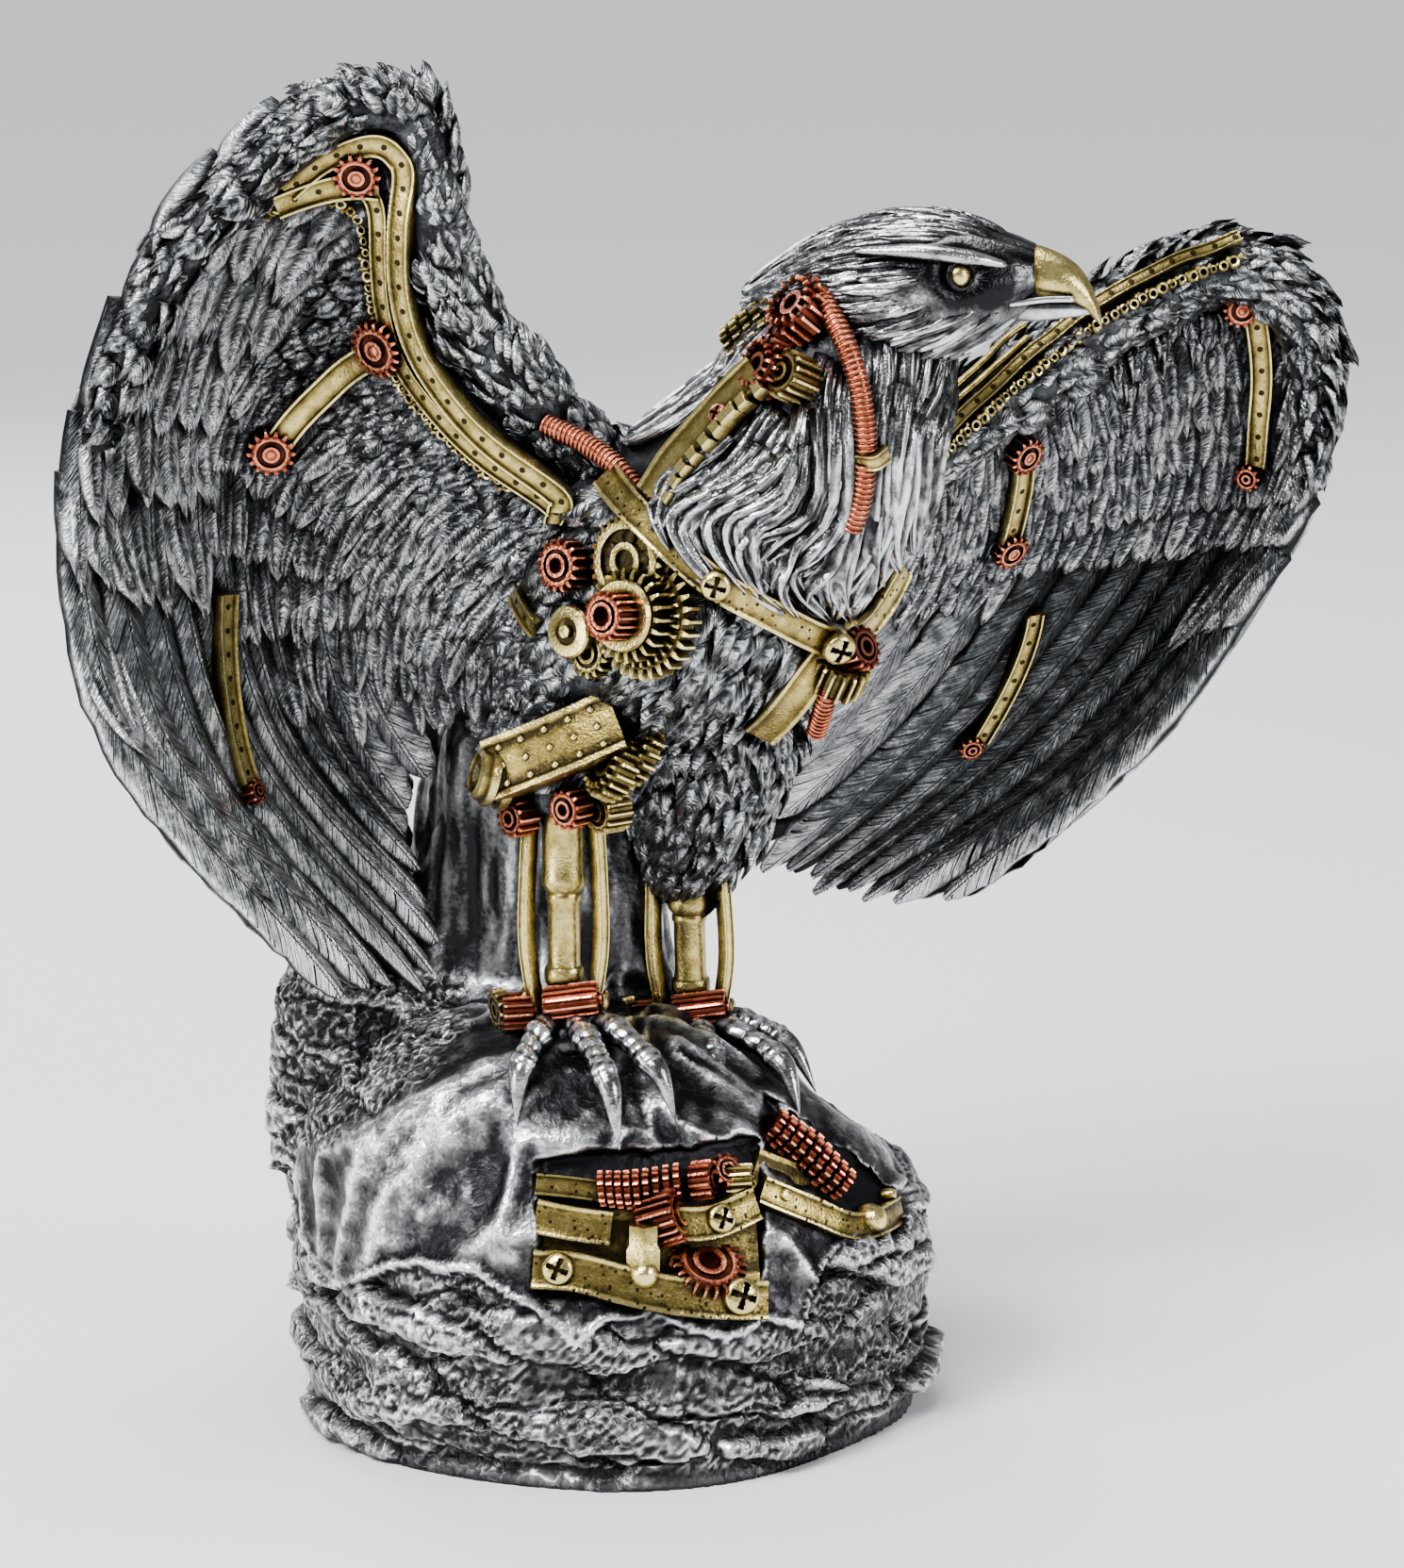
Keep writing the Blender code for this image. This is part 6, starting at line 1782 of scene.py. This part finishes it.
def rock():
    settings = bpy.context.scene.eagle_rock
    base = bpy.data.objects.new("rock_base", rock_solids())
    bpy.context.scene.collection.objects.link(base)
    remesh = base.modifiers.new("One skin", "REMESH")
    remesh.mode = "VOXEL"
    remesh.voxel_size = settings.voxel
    soften = base.modifiers.new("Soften joins", "SMOOTH")
    soften.factor = 0.6
    soften.iterations = 8
    bpy.context.view_layer.update()
    graph = bpy.context.evaluated_depsgraph_get()
    mesh = bpy.data.meshes.new_from_object(base.evaluated_get(graph))
    bpy.data.objects.remove(base)
    count = len(mesh.vertices)
    flat = np.zeros(count * 3, np.float32)
    mesh.vertices.foreach_get("co", flat)
    points = flat.reshape(-1, 3).astype(float) / MM
    mesh.vertices.foreach_get("normal", flat)
    normal = flat.reshape(-1, 3).astype(float)
    x, y, z = points.T
    wobble = value_noise(points, 17, 3)
    edge = drape_edge(x, y) + 1.6 * value_noise(points, 7, 5)
    line = 98 + (x + 36) * 0.95 + 7 * wobble
    rough_left = ease(-5, 3, z - line) * (1 - ease(-34, -26, x + 4 * wobble))
    rough_back = ease(6, 20, y + 8 * wobble) * ease(-2, 4, z - edge)
    crag = np.where((x > -50) & (z > 100) & (y > -8), ease(99, 106, z), 0.0)
    web_mask = np.clip(np.maximum(rough_left, rough_back) - crag, 0, 1)
    drape = ease(-0.4, 1.0, z - edge) * (1 - web_mask) * (1 - crag)
    strata = np.clip(1 - drape - web_mask - crag, 0, 1)
    bent = points + 2.2 * np.stack([value_noise(points, 7, s) for s in (11, 12, 13)], -1)
    near, second, _ = cell_noise(bent, settings.web_size / MM, 7)
    web = 1 - ease(0.02, 0.34, second - near)
    near, second, _ = cell_noise(bent, settings.web_size / MM * 2.6, 9)
    web_big = 1 - ease(0.02, 0.22, second - near)
    tilted = points + np.stack([0 * x, 0 * x, 0.10 * x + 3.5 * value_noise(points * (1, 1, 0.4), 30, 15)], -1)
    near, second, own = cell_noise((tilted + bent - points) * (0.22, 0.22, 1.0), 9.5, 31)
    slab = (own - 0.5) * 2.0 - 0.8 * (1 - ease(0.0, 0.10, second - near)) + 0.2 * ease(0.0, 0.7, second - near)
    near, second, own = cell_noise((tilted + bent - points) * (0.45, 0.45, 1.0), 5.5, 33)
    chip = (own - 0.5) * 0.3 - 0.10 * (1 - ease(0.0, 0.22, second - near)) + 0.30 * value_noise(points, 7.0, 35)
    fan = np.degrees(np.arctan2(x - 2, 112 - z))
    run = np.stack([fan * 0.55 + 5 * wobble, y * 0.6, (112 - z) * 0.30], -1)
    folds = 1.1 - 2.8 * np.abs(value_noise(run, 6.4, 21)) + 0.5 * value_noise(run, 13.0, 22)
    folds = np.clip(folds, -0.6, 1.3) - 0.35
    dents = value_noise(points, 3.4, 24)
    grooves = value_noise(points * (1, 1, 0.18), 4.5, 27) + 0.6 * value_noise(points * (1, 1, 0.25), 2.4, 28)
    rim = np.exp(-(((z - edge - 1.4) / 1.2) ** 2))
    shift = (
        web_mask * (settings.web_depth / MM * (0.35 * web + 0.5 * web_big - 0.8) + 1.4 * slab)
        + drape * (0.2 + 1.5 * folds * (1 - 0.6 * rim) + 0.45 * dents + 1.4 * rim)
        + strata * (settings.strata_depth / MM * (slab + chip) - 0.6 + 0.30 * (web - 0.5))
        + crag * 1.3 * grooves
    )
    inward = (normal * FRONT).sum(-1) > 0.15
    let_in = window_mask(x + 1.1 * dents, z + 1.1 * wobble + 0.8 * dents) * inward * (y < -20)
    shift = shift * (1 - let_in)
    lift = ease(0.2, 3.0, z)
    moved = points + normal * (shift * lift)[:, None] + np.stack([0 * x, 5.5 * let_in, 0 * x], -1)
    moved[:, 2] = np.where(z < 0.8, 0.0, np.maximum(moved[:, 2], 0.0))
    mesh.vertices.foreach_set("co", (moved * MM).astype(np.float32).ravel())
    mesh.update()
    edges = np.zeros(len(mesh.edges) * 2, np.int32)
    mesh.edges.foreach_get("vertices", edges)
    a, b = edges.reshape(-1, 2).T
    total, ties = np.zeros((count, 3)), np.zeros(count)
    for one, other in ((a, b), (b, a)):
        np.add.at(total, one, moved[other])
        np.add.at(ties, one, 1)
    mesh.vertices.foreach_get("normal", flat)
    normal = flat.reshape(-1, 3).astype(float)
    hump = ((moved - total / np.maximum(ties, 1)[:, None]) * normal).sum(-1)
    raised = 0.30 + 1.4 * np.clip(hump, -0.3, 0.3) + drape * (0.03 + 0.28 * folds + 0.12 * dents + 0.34 * rim)
    raised = raised + 0.06 * web_mask * web + (strata + web_mask) * 0.12 * slab + crag * (0.16 * grooves - 0.10)
    raised = np.where(let_in > 0.5, 0.0, raised)
    pitted = web_mask + strata * ease(-0.35, 0.25, value_noise(points, 14, 41)) + 0.12 * drape
    pitted = np.clip(pitted - let_in, 0, 1).astype(np.float32)
    mesh.attributes.new("pitted", "FLOAT", "POINT").data.foreach_set("value", pitted)
    mesh.attributes.new("raised", "FLOAT", "POINT").data.foreach_set("value", np.clip(raised, 0, 1).astype(np.float32))
    mesh.shade_smooth()
    made = piece("rock_plinth", mesh, "silver_rock")
    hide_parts(CASTING)


def rock_front_path(points, count, out):
    """A path before the front of the drum: the oval's own depth at each place, a little out."""
    line = curve(points, count)
    x, z = line[:, 0], line[:, 1]
    share = np.array((0.36, 0.47, 0.57, 0.68, 0.78, 0.88)) * 98
    deep = np.interp(z, share, np.array((0.99, 0.97, 0.94, 0.90, 0.84, 0.78)) * 66)
    wide = np.interp(z, share, np.array((1.0, 0.97, 0.93, 0.86, 0.77, 0.64)) * 76)
    middle = np.interp(z, share, np.array((0, 0, -0.01, -0.04, -0.07, -0.08)) * 152)
    lean = np.clip((x - middle) / wide, -0.97, 0.97)
    y = -deep * np.sqrt(1 - lean**2)
    normal = unit(np.stack([lean * deep / wide, -np.sqrt(1 - lean**2), np.full_like(x, 0.25)], -1))
    return np.stack([x, y, z], -1) + normal * out, normal


def window():
    """The mechanism in the front of the rock: straps, worms, wheels, a ball-ended bolt and screws."""
    brass, wheels, copper_wheels = Clay(), Gears(), Gears()
    for points, width, out in (
        (((-15, 52), (-5, 51.5), (10, 47.5), (22, 45), (36, 43)), 9.0, 1.6),
        (((-15, 63.5), (-6, 62), (2, 61)), 8.0, -1.2), (((15, 61.5), (24, 61), (34, 63.5)), 8.0, 0.2),
        (((35, 66), (46, 60), (57, 54), (67, 53)), 6.5, 0.6),
        (((-15, 70.5), (-8, 70), (0, 69)), 5.0, -2.4),
    ):
        path, normals = rock_front_path(points, 40, out)
        strap(brass, path, normals, width, 1.5, 2.0, 0.35, 0.5)
    place, normal = rock_front_path([(9, 56.5), (9.2, 57)], 2, 1.2)
    turned(brass, place[0] - UP * 7.5, UP + normal[0] * 0.1,
           [(0.01, -3.0), (2.2, -2.6), (3.2, 0), (3.3, 1.8), (4.3, 2.6), (4.3, 8.4), (3.6, 9.2), (3.6, 14), (0.01, 14)], 6,
           (0.9, 0.9, 0.9, 0.6, 0.4, 0.8, 0.7, 0.5, 0.2))
    ball = [(3.4 * math.sin(a), -3.4 * math.cos(a)) for a in np.linspace(0.03, math.pi - 0.03, 16)]
    turned(brass, place[0] - UP * 5.6 + normal[0] * 2.2, UP, ball, 26, 0.92)
    screws = Copies()
    for x, z, size, out in ((-9.5, 52.3, 7.0, 3.4), (30.0, 44.8, 8.4, 3.4), (26.0, 61.6, 6.6, 1.8)):
        spot, facing = rock_front_path([(x, z), (x + 0.1, z)], 2, out)
        side = unit(np.cross(facing[0], (0.4, 0.1, 1.0)))
        screws.add(spot[0], (side, np.cross(facing[0], side), facing[0]), size)
    for x, z, radius, out in ((60, 54.5, 3.6, 2.0), (40, 64, 1.8, 2.0), (33, 67.5, 1.6, 0.5), (64, 57, 1.5, 2.4)):
        spot, facing = rock_front_path([(x, z), (x + 0.1, z)], 2, out)
        turned(brass, spot[0], facing[0], [(0.01, -2), (radius, -2), (radius, 0), (radius * 0.7, radius * 0.6), (0.01, radius * 0.8)],
               20, (0.2, 0.3, 0.7, 0.95, 1.0))
    worm, facing = rock_front_path([(0, 69.5), (8, 69), (17, 70)], 9, -0.4)
    for k in range(9):
        copper_wheels.add(worm[k], (1, -0.05, 0.12), 4.6 - 0.12 * abs(k - 4), 1.35, 11, 0.24, 0.3, 0.1)
    side_worm, facing = rock_front_path([(38.5, 76.5), (46, 70), (54, 62.5)], 9, 0.6)
    for k in range(9):
        copper_wheels.add(side_worm[k], (0.72, 0.1, -0.66), 5.3 - 0.28 * abs(k - 4), 1.7, 11, 0.26, 0.3, 0.1)
    for x, z, radius, width, axis, out in (
        (13.5, 62.5, 6.4, 9.0, (0.9, -0.25, 0.35), 0.0), (23, 69.5, 4.6, 5.0, (0.9, -0.3, 0.2), -0.4),
        (27.5, 70.5, 4.0, 4.0, (0.5, -0.7, 0.5), -0.2), (24.0, 52.0, 8.8, 3.2, (0.25, -0.55, 0.8), -0.8),
    ):
        spot, facing = rock_front_path([(x, z), (x + 0.1, z)], 2, out)
        copper_wheels.add(spot[0], axis, radius, width, int(radius * 2.6), 0.22, 0.3, 0.25)
    spot, facing = rock_front_path([(31, 68.5), (31.1, 68.5)], 2, 0.0)
    wheels.add(spot[0], (1, -0.1, 0.1), 3.6, 6.0, 10, 0.2)
    for points, width in ((((-15, 58), (0, 57), (18, 56), (36, 55)), 17.0), (((36, 70), (48, 64), (64, 56)), 9.0)):
        path, normals = rock_front_path(points, 30, -3.4)
        strap(brass, path, normals, width, 1.2, 2.0, 0.0, 0.22)
    brass.cast("window_brass", "pale_brass", 38)
    wheels.cast("window_brass_gear", "pale_brass")
    copper_wheels.cast("window_copper_gear", "aged_copper")
    screws.cast("window_screws", screw_shape(), "pale_brass")


# Stage

def stage():
    settings = bpy.context.scene.eagle_stage
    floor_mesh = bpy.data.meshes.new("floor")
    floor_mesh.from_pydata([(-30, -30, 0), (30, -30, 0), (30, 30, 0), (-30, 30, 0)], [], [(0, 1, 2, 3)])
    floor = bpy.data.objects.new("floor", floor_mesh)
    bpy.context.scene.collection.objects.link(floor)
    pale = bpy.data.materials.new("pale_floor")
    pale.use_nodes = True
    shader = pale.node_tree.nodes["Principled BSDF"]
    shader.inputs["Base Color"].default_value = (*settings.floor, 1.0)
    shader.inputs["Roughness"].default_value = 0.7
    floor_mesh.materials.append(pale)
    world = bpy.data.worlds.new("studio")
    world.use_nodes = True
    world.node_tree.nodes["Background"].inputs["Color"].default_value = (0.95, 0.97, 1.0, 1.0)
    world.node_tree.nodes["Background"].inputs["Strength"].default_value = settings.surround
    bpy.context.scene.world = world
    target = Vector((0.02, 0.0, 0.16))
    for name, place, size, power in (
        ("key_light", (-0.75, -1.1, 1.15), 0.45, 28.0), ("fill_light", (1.25, -0.8, 0.6), 0.5, 14.0),
        ("top_light", (0.15, 0.1, 1.4), 0.6, 12.0), ("rim_light", (-0.6, 1.2, 0.8), 0.7, 12.0),
        ("low_light", (-1.3, -0.7, 0.25), 0.4, 9.0),
    ):
        data = bpy.data.lights.new(name, "AREA")
        data.size = size
        data.energy = power
        lamp = bpy.data.objects.new(name, data)
        lamp.location = place
        lamp.rotation_euler = (target - Vector(place)).to_track_quat("-Z", "Y").to_euler()
        bpy.context.scene.collection.objects.link(lamp)
    day = bpy.data.lights.new("day_light", "SUN")
    day.energy = 2.9
    day.angle = math.radians(28.0)
    lamp = bpy.data.objects.new("day_light", day)
    lamp.rotation_euler = (math.radians(32.0), math.radians(-18.0), 0.0)
    bpy.context.scene.collection.objects.link(lamp)
    camera_data = bpy.data.cameras.new("camera")
    camera_data.sensor_fit = "AUTO"
    camera_data.sensor_width = 36.0
    camera_data.lens = settings.lens
    camera = bpy.data.objects.new("camera", camera_data)
    aim = Vector((0.0224, 0.0, 0.150))
    tilt = settings.elevation
    camera.location = aim + Vector((0.0, -math.cos(tilt), math.sin(tilt))) * settings.distance
    camera.rotation_euler = (math.pi / 2 - tilt, 0.0, 0.0)
    bpy.context.scene.collection.objects.link(camera)
    bpy.context.scene.camera = camera


# Settings

def length_setting(name, default, description):
    return bpy.props.FloatProperty(
        name=name, description=description, default=default, min=0.0, subtype="DISTANCE", unit="LENGTH"
    )


def colour_setting(name, default, description):
    return bpy.props.FloatVectorProperty(
        name=name, description=description, default=default, size=3, min=0.0, max=1.0, subtype="COLOR"
    )


class EagleFeathers(bpy.types.PropertyGroup):
    covert_width: length_setting("Covert Width", 0.0052, "Width of a long covert feather")
    covert_length: length_setting("Covert Length", 0.021, "Length of a long covert feather")
    small_feather: length_setting("Small Feather", 0.0062, "Size of the crinkled coverts under the arm")
    breast_feather: length_setting("Breast Feather", 0.0090, "Size of the feathers on breast and thighs")
    flight_feathers: bpy.props.IntProperty(
        name="Flight Feathers", description="Long feathers on each side of a wing", default=11, min=3, max=24
    )


class EagleClockwork(bpy.types.PropertyGroup):
    hose_diameter: length_setting("Hose Diameter", 0.0052, "Outer diameter of the ribbed hoses")
    rib_pitch: length_setting("Rib Pitch", 0.00120, "Distance from one rib of a hose to the next")


class EagleRock(bpy.types.PropertyGroup):
    voxel: length_setting("Detail", 0.0013, "Grid size that the rock's skin is rebuilt with")
    web_size: length_setting("Web Size", 0.0036, "Width of the pits in the rough stone")
    web_depth: length_setting("Web Depth", 0.0011, "Depth of the pits in the rough stone")
    strata_depth: length_setting("Ledge Depth", 0.0036, "How far the ledges of the lower rock stand out")


class EagleFinish(bpy.types.PropertyGroup):
    soot: colour_setting("Soot", (0.012, 0.012, 0.014), "Black wash left in the hollows of the silver")
    silver: colour_setting("Silver", (0.120, 0.122, 0.126), "Antique silver on the flats")
    bright_silver: colour_setting("Bright Silver", (0.90, 0.91, 0.94), "Silver rubbed bright on what stands out")
    brass_shadow: colour_setting("Brass Shadow", (0.022, 0.016, 0.006), "Wash in the hollows of the brass")
    brass: colour_setting("Brass", (0.26, 0.195, 0.050), "Aged brass on the flats")
    bright_brass: colour_setting("Bright Brass", (0.93, 0.77, 0.30), "Brass rubbed bright")
    copper_shadow: colour_setting("Copper Shadow", (0.025, 0.006, 0.004), "Wash in the hollows of the copper")
    copper: colour_setting("Copper", (0.33, 0.066, 0.028), "Aged copper on the flats")
    bright_copper: colour_setting("Bright Copper", (0.93, 0.36, 0.20), "Copper rubbed bright")


class EagleStage(bpy.types.PropertyGroup):
    floor: colour_setting("Floor", (0.90, 0.90, 0.91), "Colour of the floor")
    surround: bpy.props.FloatProperty(name="Surround", description="Strength of the studio's even light", default=0.28)
    distance: length_setting("Camera Distance", 1.25, "From the camera to the figurine's middle")
    lens: bpy.props.FloatProperty(name="Lens", description="Focal length in millimetres", default=123.85, min=1.0)
    elevation: bpy.props.FloatProperty(
        name="Camera Height", description="How far the camera looks down", default=math.radians(12.0), subtype="ANGLE"
    )


def steps_operator(identifier, label, text, *steps):
    """An operator that runs the given steps and raises whatever stops them."""

    def execute(self, context):
        for step in steps:
            step()
        return {"FINISHED"}

    return type("EAGLE_OT_" + identifier, (bpy.types.Operator,), {
        "__doc__": text, "bl_idname": "eagle." + identifier, "bl_label": label, "execute": execute,
    })


OPERATORS = (
    steps_operator("rock", "Rock", "Build the rock plinth and let it stand for the casting", rock),
    steps_operator("window", "Rock Mechanism", "Build the mechanism in the front of the rock", window),
    steps_operator("legs", "Legs and Feet", "Build the brass legs and the clawed feet", legs),
    steps_operator("straps", "Straps and Plates", "Build the straps, plates, rivets and screws", straps_and_plates),
    steps_operator("gears", "Gears", "Build the toothed wheels", gears),
    steps_operator("hoses", "Hoses", "Build the ribbed copper hoses", hoses),
    steps_operator("trunk", "Trunk", "Build the trunk, thighs and tail with their feathers", trunk),
    steps_operator("wings", "Wings", "Build both wings and their long feathers", arm_rolls,
                   lambda: wing_feathers("right"), lambda: wing_feathers("left")),
    steps_operator("small_coverts", "Small Feathers", "Strew the short feathers over both wings, clear of the fittings",
                   lambda: small_coverts("right"), lambda: small_coverts("left")),
    steps_operator("neck", "Neck Locks", "Build the curling locks of the neck", neck_locks),
    steps_operator("head", "Head", "Build the head, the beak and the eyes", head, beak_and_eyes),
    steps_operator("stage", "Stage", "Build the floor, the lights and the camera", stage),
)


class EAGLE_PT_looks(bpy.types.Panel):
    """Settings and steps of the eagle figurine's looks"""

    bl_label = "Eagle Figurine"
    bl_idname = "EAGLE_PT_looks"
    bl_space_type = "VIEW_3D"
    bl_region_type = "UI"
    bl_category = "Eagle"

    def draw(self, context):
        for group in SETTINGS:
            box = self.layout.box()
            for name in SETTINGS[group].__annotations__:
                box.prop(getattr(context.scene, group), name)
        for operator in OPERATORS:
            self.layout.operator(operator.bl_idname)


SETTINGS = {
    "eagle_feathers": EagleFeathers, "eagle_clockwork": EagleClockwork, "eagle_rock": EagleRock,
    "eagle_finish": EagleFinish, "eagle_stage": EagleStage,
}


def register():
    for name, group in SETTINGS.items():
        bpy.utils.register_class(group)
        setattr(bpy.types.Scene, name, bpy.props.PointerProperty(type=group))
    for operator in OPERATORS:
        bpy.utils.register_class(operator)
    bpy.utils.register_class(EAGLE_PT_looks)


def unregister():
    bpy.utils.unregister_class(EAGLE_PT_looks)
    for operator in reversed(OPERATORS):
        bpy.utils.unregister_class(operator)
    for name, group in SETTINGS.items():
        delattr(bpy.types.Scene, name)
        bpy.utils.unregister_class(group)


def main():
    register()
    for operator in OPERATORS:
        getattr(bpy.ops.eagle, operator.bl_idname.split(".")[1])()
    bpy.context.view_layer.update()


if __name__ == "__main__":
    main()
